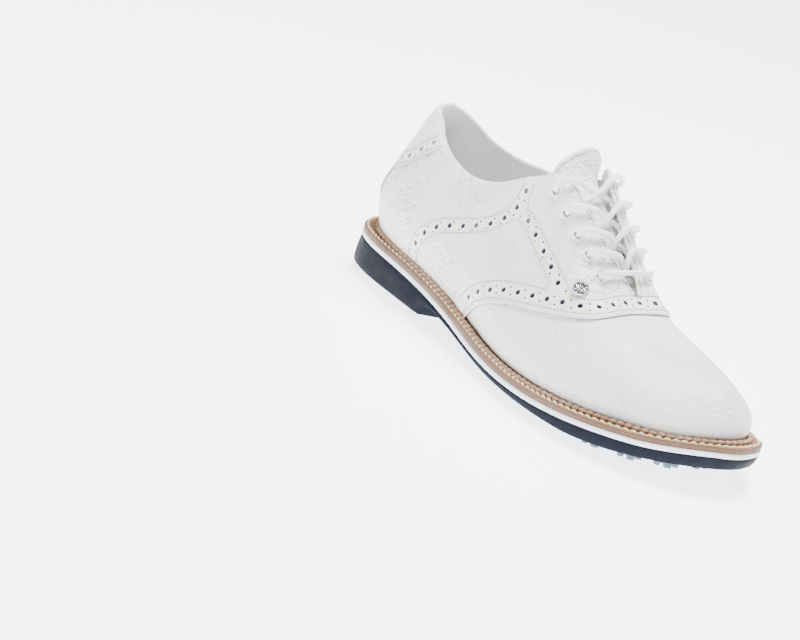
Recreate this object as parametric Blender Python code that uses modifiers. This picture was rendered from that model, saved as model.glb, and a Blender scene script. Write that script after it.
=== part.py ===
"""Right golf shoe: a lasted leather upper on a storm welt and a moulded sole with spike nubs.

Metres, +Z up, +X towards the toe, +Y towards the inner (medial) side. The origin is on the
ground, under the middle of the shoe's outline. Lengths below are in millimetres.
"""

import math

import bmesh
import bpy
import numpy as np
from mathutils import Matrix, Vector
from mathutils.geometry import delaunay_2d_cdt

MM = 0.001
GAP = 0.3  # air between neighbouring pieces

# The last, the foot form that the upper is stretched over. Each station gives the feather line
# (x, lateral y, medial y, z), the ridge over it (x, y, z) and how much its section is a heel's
# and a throat's. What is left of the two weights is a toe's.
STATIONS = [
    (-143, 0, 0, 25.2, -112, 0, 150, 1, 0),
    (-140, -13.5, 12.6, 25.2, -110, 0, 150, 1, 0),
    (-130, -24, 22, 25.2, -106, 0, 150, 1, 0),
    (-114, -30.2, 28.5, 25.2, -97, 0, 151, 1, 0),
    (-92, -33, 30.6, 24.6, -84, 0.8, 151, 1, 0),
    (-62, -34.2, 29, 22.4, -60, 2.5, 146, 0.6, 0.4),
    (-28, -37.5, 28.2, 18.4, -28.5, 4, 125, 0.1, 0.9),
    (6, -43.8, 31.3, 14.8, 6, 4.5, 99.5, 0, 1),
    (40, -48, 38.5, 13.9, 35, 4.5, 73, 0, 0.8),
    (70, -47.3, 43.7, 15.2, 58, 4.5, 58.5, 0, 0.4),
    (96, -41.2, 44.1, 17.5, 78, 5, 54, 0, 0.1),
    (117, -31.2, 39.7, 19.9, 93, 6, 50.5, 0, 0),
    (134, -18.2, 30.6, 22.2, 105, 6.5, 49, 0, 0),
    (142.5, -4.2, 19.3, 24.0, 112, 7, 48.8, 0, 0),
    (145, 7.5, 7.5, 25.2, 115, 7, 49, 0, 0),
]
# From the feather to the ridge: how much of the width is left, and how much height is reached.
SECTIONS = {
    "heel": ((1, 1.13, 0.74, 0.44, 0), (0, 0.20, 0.51, 0.83, 1)),
    "throat": ((1, 1.03, 0.78, 0.49, 0), (0, 0.25, 0.565, 0.98, 1)),
    "toe": ((1, 1.04, 0.89, 0.53, 0), (0, 0.325, 0.65, 0.915, 1)),
}
GIRTH = 80  # a half girth, to give t the scale of s on the flat pattern
STEP = 9.0  # spacing of the points on a pattern piece

# Layers of the upper: (outer face, thickness), measured outwards from the last.
TAB = (2.6, 1.2)
QUARTER = (0.8, 1.3)
VAMP = (-1.35, 1.05)
COUNTER = (-1.35, 0.7)
PUFF = (-2.7, 0.9)
QUARTER_LINING = (-2.85, 0.75)
VAMP_LINING = (-4.2, 0.8)
TONGUE = (-6.0, 1.5)
TONGUE_PAD = (-8.3, 1.5)

# Pattern lines as (s, t): s runs along the feather line from the heel, t from -1 on the
# lateral feather over the ridge at 0 to 1 on the medial feather.
COLLAR = [(0, -0.425), (15, -0.428), (30, -0.442), (43, -0.462), (51, -0.486), (62, -0.510),
          (79, -0.533), (93, -0.535), (110, -0.503), (124, -0.448), (136, -0.385), (148, -0.31)]
COLLAR_MEDIAL = [(0, 0.425), (15, 0.443), (30, 0.472), (43, 0.503), (51, 0.511), (62, 0.513),
                 (79, 0.508), (93, 0.495), (110, 0.470), (124, 0.430), (136, 0.378), (148, 0.31)]
FACING_LATERAL = [(157.5, -0.208), (162, -0.171), (173, -0.128), (182, -0.083), (191.5, -0.045),
                  (202, -0.002), (209, 0.014), (217.5, 0.040)]
FACING_MEDIAL = [(152, 0.19), (156, 0.145), (170, 0.108), (178, 0.103), (186, 0.104),
                 (196, 0.103), (204, 0.098), (217.5, 0.062)]
FRONT_LATERAL = [(234.2, 0.046), (234.4, -0.143), (228.7, -0.298), (216.5, -0.414),
                 (194.7, -0.551), (170.7, -0.697), (157.4, -0.80), (147.7, -0.889),
                 (139.5, -0.992)]
FRONT_MEDIAL = [(234.2, 0.054), (232.5, 0.12), (227, 0.25), (216, 0.385), (197, 0.535),
                (172, 0.685), (155, 0.80), (145, 0.885), (138, 0.992)]
EYELETS = {
    "lateral": [(160.5, -0.282), (173, -0.258), (184.6, -0.23), (195.2, -0.197),
                (207.9, -0.168)],
    "medial": [(158, 0.255), (170.5, 0.222), (182, 0.218), (193, 0.214), (205.5, 0.208)],
}
ORNAMENT = (209.5, -0.292)
TAB_EDGE = [(54, -0.556), (50, -0.58), (44, -0.62), (34, -0.654), (27, -0.685),
            (24, -0.76), (21, -0.82), (17, -0.90), (15.5, -0.992)]
TONGUE_MIDDLE = 0.035
TONGUE_SIDE = [(224, -0.13), (212, -0.165), (200, -0.205), (180, -0.265), (165, -0.29),
               (154, -0.305), (146, -0.33)]  # on the lateral side of the tongue's middle
TONGUE_TOP = [(144.8, -0.25), (144.2, -0.17), (143.3, -0.09), (142.2, 0.0), (141.3, 0.08),
              (141.0, 0.16), (141.8, 0.25), (143.8, 0.33)]
TONGUE_EVEN = 0.13  # how far in t the bend of the instep is evened out for the tongue
TONGUE_RISE = 1.0, 7.5  # how far the tongue's free end stands up, at its sides and its middle
LAP = 10  # how far the vamp reaches back under the saddle
PUFF_BACK = 272  # where the toe puff starts
COUNTER_FRONT = 78

EYELET = dict(hole=2.1, barrel=2.5, flange=4.0, height=0.8, lift=1.1)
LACE_R = 1.6
AGLET = (1.95, 12)  # radius and length

# The sole. Its outline from above, going round from the heel's back along the lateral side.
SOLE = [(-153.5, 0.5), (-150, -17), (-139, -29.5), (-119, -37), (-92, -39.5), (-62, -40.5),
        (-28, -43.5), (6, -49.5), (40, -54), (70, -54.3), (98, -49.3), (121, -39.5), (140, -24.5),
        (151, -7), (154.5, 8), (151, 24), (139.5, 37), (120, 47), (97, 52), (70, 51.8),
        (40, 46.3), (8, 38.2), (-28, 34.3), (-62, 34.8), (-92, 37.3), (-119, 35.5), (-138.5, 28.5),
        (-150, 17)]
WELT_TOP = [(-150, 24.8), (-114, 24.8), (-92, 24.2), (-62, 22.0), (-28, 18.0), (6, 14.4),
            (40, 13.5), (70, 14.8), (96, 17.1), (117, 19.5), (134, 21.9), (145, 24.3),
            (152, 25.8)]
WELT, STRIP = 2.6, 3.0
GROUND_SIDE = [(-60, 12.0), (-45, 11.5), (-30, 10.0), (-10, 7.5), (10, 5.4), (30, 4.3),
               (48, 4.0), (88, 4.0), (105, 5.2), (125, 8.0), (140, 10.8), (152, 13.0)]
HEEL_Z = 4.0  # underside of the heel block, a nub's height over the ground
BREAST = ((-56, -34), (-32, 32))  # the slanted front of the heel block
BREAST_RUN = 5
NUB = 4.0
PLATE = 1.7  # depth of the forefoot plate's pocket
PAD = 3.0
PROUD = 0.4  # how far the plate and the pad stand out of the sole

PLATE_LATERAL = [(-49, -33), (-28, -36), (6, -41.5), (30, -45.2)]
PLATE_TOE = [(39, -46.2), (70, -46.5), (98, -41.5), (120, -32), (137, -18), (144, -3), (145, 8),
             (142, 21), (133, 32), (117, 41), (97, 45.5), (81, 46)]
PLATE_WAIST = [(72, 45.5), (60, 43.5), (40, 37.5), (20, 28.5), (5, 13), (-8, -2), (-20, -9.5),
               (-32, -12.5), (-40.5, -13.5)]
GROOVE = ((34.5, -43), (76.5, 43))  # flex groove across the ball
PAD_OUTER = [(-38.5, 28.5), (-62, 28.3), (-92, 30), (-118, 28), (-134, 21.5), (-142, 12),
             (-144.5, 0), (-142, -12), (-134, -22), (-118, -29), (-92, -32), (-64, -33)]
PAD_WEDGE = [(-62.5, -29), (-54.5, -7.5), (-94, 0), (-49.5, 6.5)]
SMALL_NUBS = [(130, 6), (112, -8), (126, 21), (95, 9), (62, 1), (51, -21), (83, 36), (75, 20),
              (40, 7), (19, 1), (19, 16), (-21, -21.5), (-35.5, -24), (2, -3), (46, -36.5),
              (65, -37.5), (96, -32), (115, -24), (129, -12)]
LARGE_NUBS = [(79, -19), (104, 28), (20, -24), (52, 27), (-2.5, -24)]
HEEL_NUBS = [(-59, 17.5), (-86, 18), (-74, -19), (-103, -15), (-124, 4)]
EMBLEM = (-14, 13, 10)  # centre and radius of the plain ring on the waist

CENTRE = (0.75, -1.1)  # middle of the outline, which becomes the origin

COLOURS = {  # base colour, roughness, metallic
    "leather": ((0.80, 0.79, 0.75), 0.45, 0),
    "rim": ((0.86, 0.86, 0.85), 0.5, 0),
    "textile": ((0.42, 0.43, 0.46), 0.9, 0),
    "foam": ((0.75, 0.74, 0.66), 0.95, 0),
    "board": ((0.45, 0.36, 0.24), 0.8, 0),
    "cork": ((0.50, 0.34, 0.18), 0.9, 0),
    "stiffener": ((0.70, 0.66, 0.58), 0.6, 0),
    "enamel": ((0.80, 0.86, 0.95), 0.3, 0),
    "lace": ((0.90, 0.90, 0.90), 0.8, 0),
    "silver": ((0.75, 0.74, 0.72), 0.25, 1),
    "steel": ((0.55, 0.56, 0.58), 0.3, 1),
    "welt": ((0.52, 0.27, 0.12), 0.6, 0),
    "strip": ((0.78, 0.78, 0.93), 0.5, 0),
    "navy": ((0.018, 0.028, 0.075), 0.5, 0),
    "blue": ((0.05, 0.25, 0.45), 0.25, 0),
    "clear": ((0.42, 0.50, 0.55), 0.3, 0),
    "white": ((0.80, 0.80, 0.78), 0.4, 0),
}


# ------------------------------------------------------------------ splines and the last
def moments(knots, data, period=None):
    """Second derivatives of the cubic spline through data, periodic or with natural ends."""
    n = len(knots)
    if period:
        h = np.diff(np.append(knots, knots[0] + period))
        a, r = np.zeros((n, n)), np.zeros((n, n))
        rows = range(n)
    else:
        h = np.append(np.diff(knots), 1)
        a, r = np.eye(n), np.zeros((n, n))
        rows = range(1, n - 1)
    for i in rows:
        p, q = (i - 1) % n, (i + 1) % n
        a[i] = 0
        a[i, p] += h[p]
        a[i, i] += 2 * (h[p] + h[i])
        a[i, q] += h[i]
        r[i, p] += 6 / h[p]
        r[i, i] -= 6 / h[p] + 6 / h[i]
        r[i, q] += 6 / h[i]
    return np.linalg.solve(a, r @ data)


def weights(knots, at, period=None):
    """Row per place in `at`: the weight of each knot's value in the spline there."""
    n = len(knots)
    m = moments(knots, np.eye(n), period)
    at = np.asarray(at, float)
    k = np.append(knots, knots[0] + period) if period else np.asarray(knots, float)
    if period:
        at = (at - k[0]) % period + k[0]
    i = np.clip(np.searchsorted(k, at, side="right") - 1, 0, len(k) - 2)
    j = (i + 1) % n
    h = k[i + 1] - k[i]
    a = (k[i + 1] - at) / h
    b = 1 - a
    eye = np.eye(n)
    bend_a, bend_b = (a**3 - a) * h * h / 6, (b**3 - b) * h * h / 6
    return a[:, None] * eye[i] + b[:, None] * eye[j] + bend_a[:, None] * m[i] + bend_b[:, None] * m[j]


def curve_z(table):
    """The height at any x, smooth through a table of (x, z)."""
    xs, zs = np.array(table, float).T
    return lambda x: weights(xs, np.clip(x, xs[0], xs[-1])) @ zs


class Last:
    """A smooth surface over (s, t), closed round the heel's back and over the toe's tip."""

    def __init__(self):
        rows = np.array(STATIONS, float)
        heel, throat = rows[:, 7], rows[:, 8]
        share = {"heel": heel, "throat": throat, "toe": 1 - heel - throat}
        ridge = rows[:, 4:7]
        sides = []
        for column in (1, 2):
            feather = rows[:, [0, column, 3]]
            side = []
            for level in range(4):
                wide = sum(share[k] * SECTIONS[k][0][level] for k in share)
                high = sum(share[k] * SECTIONS[k][1][level] for k in share)
                side.append(ridge + (feather - ridge) * np.stack([wide, wide, 1 - high], 1))
            sides.append(side)
        net = np.stack(sides[0] + [ridge] + sides[1][::-1], 1)
        chords = [np.linalg.norm(np.diff(side[0], axis=0), axis=1) for side in sides]
        s = np.append(0, np.cumsum((chords[0] + chords[1]) / 2))
        self.length = s[-1]
        self.knots = np.append(s, 2 * self.length - s[-2:0:-1])
        self.net = np.concatenate([net, net[-2:0:-1, ::-1]])

    def at(self, s, t, spread=0):
        """Points in mm. A negative s lies past the heel's back, on the other side.

        With a `spread` they are the mean over that much of t each way, which evens bends out.
        """
        s, t = np.atleast_1d(s).astype(float), np.atleast_1d(t).astype(float)
        if spread:
            return np.mean([self.at(s, t + spread * k / 4) for k in range(-4, 5)], axis=0)
        t, s = np.where(s < 0, -t, t), np.abs(s)
        along = weights(self.knots, s, 2 * self.length)
        across = weights(np.linspace(-1, 1, 9), t)
        return np.einsum("kj,kjc->kc", across, np.tensordot(along, self.net, (1, 0)))

    def normal(self, s, t, spread=0):
        low, high = np.maximum(t - 0.004, -1), np.minimum(t + 0.004, 1)
        n = np.cross(self.at(s + 0.4, t, spread) - self.at(s - 0.4, t, spread),
                     self.at(s, high, spread) - self.at(s, low, spread))
        return n / np.linalg.norm(n, axis=1, keepdims=True)

    def over(self, s, t, offset, spread=0):
        """Points `offset` outside the surface. A `spread` evens bends in it out."""
        s, t = np.atleast_1d(s).astype(float), np.atleast_1d(t).astype(float)
        out = self.normal(s, t, 2.5 * spread)
        return self.at(s, t, spread) + out * np.reshape(offset, (-1, 1))


LAST = Last()
welt_z = curve_z(WELT_TOP)
ground_line = curve_z(GROUND_SIDE)


def ground_z(x):
    """The height of the sole's underside in front of the heel."""
    return np.maximum(ground_line(x), HEEL_Z)


# ------------------------------------------------------------------ outlines and flat meshes
def run(points, step=STEP):
    """Points about `step` apart on a smooth curve through the given ones, less the last."""
    p = np.array(points, float)
    u = np.append(0, np.cumsum(np.linalg.norm(np.diff(p, axis=0), axis=1)))
    n = max(1, round(u[-1] / step))
    return weights(u, np.linspace(0, u[-1], n + 1)[:-1]) @ p


def flat(points):
    """(s, t) points on the flat pattern, both in mm."""
    return [(s, t * GIRTH) for s, t in points]


def closed_run(points, step):
    p = np.array(points, float)
    d = np.linalg.norm(np.roll(p, -1, 0) - p, axis=1)
    u = np.append(0, np.cumsum(d)[:-1])
    n = round(d.sum() / step)
    return weights(u, np.arange(n) * d.sum() / n, d.sum()) @ p


def inset(loop, by):
    """A closed anticlockwise loop moved inwards by `by`."""
    along = np.roll(loop, -1, 0) - loop
    along /= np.linalg.norm(along, axis=1, keepdims=True)
    ahead = np.stack([along[:, 1], -along[:, 0]], 1)
    back = np.roll(ahead, 1, 0)
    turn = np.maximum(1 + (ahead * back).sum(1, keepdims=True), 0.3)
    return loop - by * (ahead + back) / turn


def feather(by, step=12.0):
    """The last's outline at the sole, moved inwards by `by`."""
    n = round(LAST.length / step)
    s = np.linspace(0, LAST.length, n + 1)
    lateral = LAST.at(s, -np.ones(n + 1))[:, :2]
    medial = LAST.at(s[-2:0:-1], np.ones(n - 1))[:, :2]
    return inset(np.concatenate([lateral, medial]), by)


def inside(points, loop):
    """Whether each point is in the loop, by counting the edges to its right."""
    a, b = loop, np.roll(loop, -1, 0)
    x, y = points[:, :1], points[:, 1:]
    spans = (a[:, 1] > y) != (b[:, 1] > y)
    rise = np.where(b[:, 1] == a[:, 1], 1e-12, b[:, 1] - a[:, 1])
    return (spans & (x < a[:, 0] + (y - a[:, 1]) * (b[:, 0] - a[:, 0]) / rise)).sum(1) % 2 == 1


def clearance(points, a, b):
    """The distance of each point to the nearest of the segments a-b."""
    d = b - a
    u = ((points[:, None] - a) * d).sum(2) / np.maximum((d * d).sum(1), 1e-12)
    nearest = a + np.clip(u, 0, 1)[..., None] * d
    return np.linalg.norm(points[:, None] - nearest, axis=2).min(1)


def fill(loop, holes=(), step=STEP, lines=(), extra=()):
    """Triangles over a closed outline with holes, on a staggered grid.

    Lines become edges, and extra points are taken in where the grid would be too coarse.
    """
    loops = [np.asarray(loop, float)] + [np.asarray(h, float) for h in holes]
    a = np.concatenate(loops + [np.array([line[0]], float) for line in lines])
    b = np.concatenate([np.roll(p, -1, 0) for p in loops]
                       + [np.array([line[1]], float) for line in lines])
    low, high = loops[0].min(0), loops[0].max(0)
    row = step * 0.87
    grid = np.array([(step * (i + (j % 2) / 2), row * j)
                     for j in range(math.floor(low[1] / row), math.ceil(high[1] / row))
                     for i in range(math.floor(low[0] / step) - 1, math.ceil(high[0] / step))])
    keep = inside(grid, loops[0]) & (clearance(grid, a, b) > 0.5 * step)
    for hole in loops[1:]:
        keep &= ~inside(grid, hole)
    if len(extra):
        extra = np.asarray(extra, float)
        extra = extra[inside(extra, loops[0]) & (clearance(extra, a, b) > 0.8)]
        keep &= np.linalg.norm(grid[:, None] - extra, axis=2).min(1) > 0.4 * step
    corners = [Vector(p) for loop in loops for p in loop]
    edges, start = [], 0
    for points in loops:
        n = len(points)
        edges += [(start + i, start + (i + 1) % n) for i in range(n)]
        start += n
    for line in lines:
        edges.append((len(corners), len(corners) + 1))
        corners += [Vector(p) for p in line]
    corners += [Vector(p) for p in grid[keep]] + [Vector(p) for p in extra]
    points, _, faces, *_ = delaunay_2d_cdt(corners, edges, [], 0, 1e-5)
    points = np.array([p[:] for p in points])
    middles = np.array([points[list(f)].mean(0) for f in faces])
    good = inside(middles, loops[0])
    for hole in loops[1:]:
        good &= ~inside(middles, hole)
    faces = [tuple(f) for f, ok in zip(faces, good) if ok]
    used = sorted({i for f in faces for i in f})
    index = {old: new for new, old in enumerate(used)}
    return points[used], [tuple(index[i] for i in f) for f in faces]


# ------------------------------------------------------------------ objects
def clear_scene():
    for obj in list(bpy.data.objects):
        bpy.data.objects.remove(obj, do_unlink=True)


clear_scene()
shoe = bpy.data.collections.new("golf_shoe")
cutters = bpy.data.collections.new("cutters")
cutters.hide_render = True
for collection in (shoe, cutters):
    bpy.context.scene.collection.children.link(collection)


def dress(obj, kind):
    """The node's own Principled material."""
    colour, roughness, metallic = COLOURS[kind]
    material = bpy.data.materials.new(obj.name)
    material.use_nodes = True
    shader = material.node_tree.nodes["Principled BSDF"]
    shader.inputs["Base Color"].default_value = (*colour, 1)
    shader.inputs["Roughness"].default_value = roughness
    shader.inputs["Metallic"].default_value = metallic
    obj.data.materials.append(material)


def new_object(name, bm, kind=None):
    """A finished bmesh in mm as a node, or as a cutter where it has no material."""
    bmesh.ops.scale(bm, vec=(MM, MM, MM), verts=bm.verts)
    mesh = bpy.data.meshes.new(name)
    bm.to_mesh(mesh)
    bm.free()
    obj = bpy.data.objects.new(name, mesh)
    if kind:
        shoe.objects.link(obj)
        dress(obj, kind)
        mesh.shade_smooth()
        mesh.set_sharp_from_angle(angle=math.radians(35))
    else:
        cutters.objects.link(obj)
        obj.hide_render = True
        obj.display_type = "WIRE"
    return obj


def body(name, kind, upper, lower, faces):
    """A closed mesh from two matching faces and walls round their edges.

    Points of the upper face that coincide are made one, which closes a seam.
    """
    _, first, index = np.unique(np.round(upper, 3), axis=0, return_index=True,
                                return_inverse=True)
    index = index.reshape(-1)
    faces = [tuple(index[i] for i in f) for f in faces]
    directed = {(f[i], f[(i + 1) % 3]) for f in faces for i in range(3)}
    bm = bmesh.new()
    high = [bm.verts.new(p) for p in upper[first]]
    low = [bm.verts.new(p) for p in lower[first]]
    for f in faces:
        bm.faces.new([high[i] for i in f])
        bm.faces.new([low[i] for i in reversed(f)])
    for a, b in sorted(directed):
        if (b, a) not in directed:
            bm.faces.new((high[b], high[a], low[a], low[b]))
    return new_object(name, bm, kind)


def between(name, kind, outline, outer, inner, holes=(), step=STEP, extra=(), spread=0):
    """A pattern piece that fills the room between two heights over the last."""
    points, faces = fill(outline, holes, step, extra=extra)
    s, t = points[:, 0], points[:, 1] / GIRTH
    return body(name, kind, LAST.over(s, t, outer(s, t), spread),
                LAST.over(s, t, inner(s, t), spread), faces)


def piece(name, kind, outline, layer, holes=(), step=STEP, lift=None, extra=(), spread=0):
    """A pattern piece of even thickness at its layer's height."""
    outer, thick = layer
    height = (lambda s, t: outer + lift(s, t)) if lift else (lambda s, t: outer + 0 * s)
    return between(name, kind, outline, height, lambda s, t: height(s, t) - thick, holes, step,
                   extra, spread)


def slab(name, kind, loop, top, bottom, holes=(), step=12.0, lines=(), spread=None):
    """A plate between two heights over one outline. `spread` moves the lower edge outwards."""
    points, faces = fill(loop, holes, step, lines)
    x, y = points.T
    lower = points.copy()
    if spread:
        out = np.zeros_like(points)
        directed = {(f[i], f[(i + 1) % 3]) for f in faces for i in range(3)}
        for a, b in [(a, b) for a, b in directed if (b, a) not in directed]:
            d = points[b] - points[a]
            out[[a, b]] += np.array([d[1], -d[0]]) / np.linalg.norm(d)
        on_rim = np.linalg.norm(out, axis=1) > 0
        out[on_rim] /= np.linalg.norm(out[on_rim], axis=1, keepdims=True)
        lower = points + out * spread(x)[:, None]
    return body(name, kind, np.column_stack([points, top(x, y)]),
                np.column_stack([lower, bottom(x, y)]), faces)


def boolean(obj, tool, operation="DIFFERENCE"):
    cut = obj.modifiers.new(tool.name, "BOOLEAN")
    cut.operation = operation
    cut.object = tool


def frame_at(s, t, offset):
    """A matrix at a place on the last, its Z along the outward normal, its X up the shoe."""
    origin = LAST.over(s, t, offset)[0]
    z = Vector(LAST.normal(np.array([float(s)]), np.array([float(t)]))[0])
    x = Vector(LAST.at(s, t + 0.01)[0] - LAST.at(s, t - 0.01)[0])
    y = z.cross(x).normalized()
    x = y.cross(z)
    matrix = Matrix((x, y, z)).transposed().to_4x4()
    matrix.translation = Vector(origin) * MM
    return matrix


def turned(name, kind, profile, matrix, segments, closed=True):
    """A profile of (radius, height) turned about Z with a Screw modifier."""
    bm = bmesh.new()
    verts = [bm.verts.new((r, 0, z)) for r, z in profile]
    last = len(verts) if closed else len(verts) - 1
    for i in range(last):
        bm.edges.new((verts[i], verts[(i + 1) % len(verts)]))
    obj = new_object(name, bm, kind)
    screw = obj.modifiers.new("turn", "SCREW")
    screw.steps = screw.render_steps = segments
    screw.use_merge_vertices = True
    screw.merge_threshold = 0.000001
    obj.matrix_world = matrix
    return obj


def tube(name, kind, points, radius):
    """A round cord along points in mm."""
    curve = bpy.data.curves.new(name, "CURVE")
    curve.dimensions = "3D"
    curve.bevel_depth = radius * MM
    curve.bevel_resolution = 1
    curve.use_fill_caps = True
    spline = curve.splines.new("POLY")
    spline.points.add(len(points) - 1)
    for point, p in zip(spline.points, points):
        point.co = (*(np.asarray(p) * MM), 1)
    obj = bpy.data.objects.new(name, curve)
    shoe.objects.link(obj)
    dress(obj, kind)
    return obj


# ------------------------------------------------------------------ upper
TIP = LAST.length
collar_knots = np.array([(-s, -t) for s, t in COLLAR_MEDIAL[:0:-1]] + COLLAR, float).T


def collar_t(s):
    """The collar's edge as t, for a negative s the medial one as a wrapping piece has it."""
    return weights(collar_knots[0], np.clip(s, collar_knots[0, 0], collar_knots[0, -1])) @ (
        collar_knots[1])


def behind(points):
    """Lateral pattern points on the medial side, as a piece that wraps the heel has them."""
    return [(-s, t) for s, t in points]


def below_collar(places, by, side=1):
    """Pattern points `by` in t below the collar's edge, at -s on the medial side."""
    return [(side * s, float(collar_t([side * s])[0]) - by) for s in places]


def ring_hole(s, t, radius, n=10):
    """A round hole on the flat pattern, allowing for the pattern's own stretch."""
    a, b = LAST.at([s, s], [t - 0.02, t + 0.02])
    c, d = LAST.at([s - 1, s + 1], [t, t])
    stretch = np.linalg.qr(np.stack([(d - c) / 2, (b - a) / (0.04 * GIRTH)], 1))[1]
    turn = 2 * math.pi * (np.arange(n) + 0.5) / n
    ring = np.linalg.solve(stretch, radius * np.stack([np.cos(turn), np.sin(turn)]))
    return np.array([s, t * GIRTH]) + ring.T


def anticlockwise(runs):
    """The runs of an outline joined, turned the other way where they go clockwise."""
    loop = np.concatenate(runs)
    x, y = loop.T
    return loop if (x * np.roll(y, -1) - y * np.roll(x, -1)).sum() > 0 else loop[::-1]


def quarter(side):
    """One quarter with its saddle front and facing, from the back seam to the saddle's edge."""
    seam = 0.35
    if side == "lateral":
        collar, facing, front = COLLAR, FACING_LATERAL, FRONT_LATERAL
    else:
        collar, facing, front = COLLAR_MEDIAL, FACING_MEDIAL, FRONT_MEDIAL
    collar = [(max(s, seam), t + math.copysign(0.016, t)) for s, t in collar]
    foot = front[-1][1]
    loop = anticlockwise([
        run(flat(collar)),
        run(flat([collar[-1], facing[0]]), 4),
        run(flat(facing)),
        run(flat([facing[-1], front[0]]), 6),
        run(flat(front)),
        run(flat([front[-1], (70, foot), (seam, foot)])),
        run(flat([(seam, foot), collar[0]])),
    ])
    holes = [ring_hole(s, t, EYELET["barrel"] + 1.2) for s, t in EYELETS[side]]
    if side == "lateral":
        holes.append(ring_hole(*ORNAMENT, 1.8, 8))
    rings = [ring_hole(s, t, 5.8) for s, t in EYELETS[side]]
    return piece(f"quarter_{side}", "leather", loop, QUARTER, holes, extra=np.concatenate(rings))


quarter("lateral")
quarter("medial")


def forepart(name, kind, layer, back=0.0, foot=0.992, step=STEP):
    """A piece over the whole toe, back to under the saddle."""
    scale = foot / 0.992
    rear = [(s - LAP - back, t * scale) for s, t in FRONT_LATERAL[::-1] + FRONT_MEDIAL[1:]]
    loop = anticlockwise([
        run(flat(rear), step),
        run(flat([rear[-1], (TIP, foot)]), step),
        run(flat([(TIP, foot), (TIP, 0)]), step),
        run(flat([(TIP, 0), (TIP, -foot)]), step),
        run(flat([(TIP, -foot), rear[0]]), step),
    ])
    return piece(name, kind, loop, layer, step=step)


forepart("vamp", "leather", VAMP)
forepart("vamp_lining", "textile", VAMP_LINING, back=3, foot=0.975, step=12)

puff = [(PUFF_BACK, -0.96), (PUFF_BACK - 5, -0.5), (PUFF_BACK - 7, 0), (PUFF_BACK - 5, 0.5),
        (PUFF_BACK, 0.96)]
piece("toe_puff", "stiffener", anticlockwise([
    run(flat([(TIP, -0.96), puff[0]])), run(flat(puff)), run(flat([puff[-1], (TIP, 0.96)])),
    run(flat([(TIP, 0.96), (TIP, 0)])), run(flat([(TIP, 0), (TIP, -0.96)]))]), PUFF)

edge = [(COUNTER_FRONT, -0.86), (COUNTER_FRONT - 14, -0.78), (30, -0.72), (0, -0.71)]
piece("heel_counter", "stiffener", anticlockwise([
    run(flat([(COUNTER_FRONT, -0.97), edge[0]])), run(flat(edge)),
    run(flat(behind(edge)[::-1])), run(flat([behind(edge)[0], (-COUNTER_FRONT, -0.97)])),
    run(flat([(-COUNTER_FRONT, -0.97), (COUNTER_FRONT, -0.97)]))]), COUNTER)

tab_places = [s for s, _ in COLLAR[:6]]
tab_top = [below_collar(tab_places, 0.022, side) for side in (1, -1)]
tab_sides = [top[-1:] + edge for top, edge in zip(tab_top, (TAB_EDGE, behind(TAB_EDGE)))]
piece("heel_tab", "leather", anticlockwise([
    run(flat(tab_top[1][::-1]), 6), run(flat(tab_top[0]), 6), run(flat(tab_sides[0]), 6),
    run(flat([tab_sides[0][-1], tab_sides[1][-1]]), 6),
    run(flat(tab_sides[1][::-1]), 6)]), TAB, step=7)

# The quarters' lining goes round the heel in one piece. It swells inwards below the collar,
# over the padding, and its fronts stop behind the eyelet rows.
places = [s for s, _ in COLLAR[:-1]]
lining_top = [below_collar(places, 0.034, side) for side in (1, -1)]
lining_front = [(142, -0.405), (165, -0.40), (186, -0.35), (203, -0.31), (206, -0.35),
                (203, -0.44), (182, -0.59), (158, -0.74), (137, -0.89), (131, -0.975)]
inner_front = [(142, -0.46), (165, -0.46), (186, -0.39), (203, -0.34), (206, -0.38),
               *lining_front[5:]]


def swell(s, t):
    """Room for the padding: none at the collar's edge, the most below it, none lower down."""
    down = (collar_t(s) - t) * GIRTH * 1.7
    rise = np.clip(down / 12, 0, 1) * np.clip((42 - down) / 20, 0, 1)
    return -3.2 * np.sin(rise * math.pi / 2) * np.clip((136 - np.abs(s)) / 25, 0, 1)


piece("quarter_lining", "textile", anticlockwise([
    run(flat((lining_top[1] + behind(inner_front[:1]))[::-1])),
    run(flat(lining_top[0] + lining_front[:1])), run(flat(lining_front)),
    run(flat([lining_front[-1], behind(lining_front)[-1]])),
    run(flat(behind(inner_front)[::-1]))]), QUARTER_LINING, step=10, lift=swell)

places = [s for s, _ in COLLAR if s <= 130]
pad_top = [below_collar(places, 0.065, side) for side in (1, -1)]
pad_low = [below_collar(places, 0.19, side) for side in (1, -1)]
between("collar_padding", "foam", anticlockwise([
    run(flat(pad_top[1][::-1])), run(flat(pad_top[0])),
    run(flat([pad_top[0][-1], pad_low[0][-1]])), run(flat(pad_low[0][::-1])),
    run(flat(pad_low[1])), run(flat([pad_low[1][-1], pad_top[1][-1]]))]),
    lambda s, t: np.full(len(s), -1.5), lambda s, t: swell(s, t) * 0.8 - 1.8)

places = [s for s, _ in COLLAR[:-1]] + [146]
rim_line = [below_collar(places, 0.004, side) for side in (1, -1)]
rim = np.concatenate([run(flat(rim_line[1][::-1]), 7), run(flat(rim_line[0]), 7),
                      flat([rim_line[0][-1]])])
tube("collar_rim", "rim", LAST.over(rim[:, 0], rim[:, 1] / GIRTH, -1.5), 1.5)

# The tongue is sewn in at its lower end. Its upper end rises between the facings.
tongue_half = TONGUE_MIDDLE - TONGUE_SIDE[-1][1]


def smooth(x):
    x = np.clip(x, 0, 1)
    return x * x * (3 - 2 * x)


def rise(s, t):
    """The free end of the tongue stands prouder, most beside its middle."""
    low, high = TONGUE_RISE
    share = smooth((t + 0.24) / 0.3) * (1 - smooth((t - 0.23) / 0.13))
    return (low + (high - low) * share) * smooth((154 - s) / 12)


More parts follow.
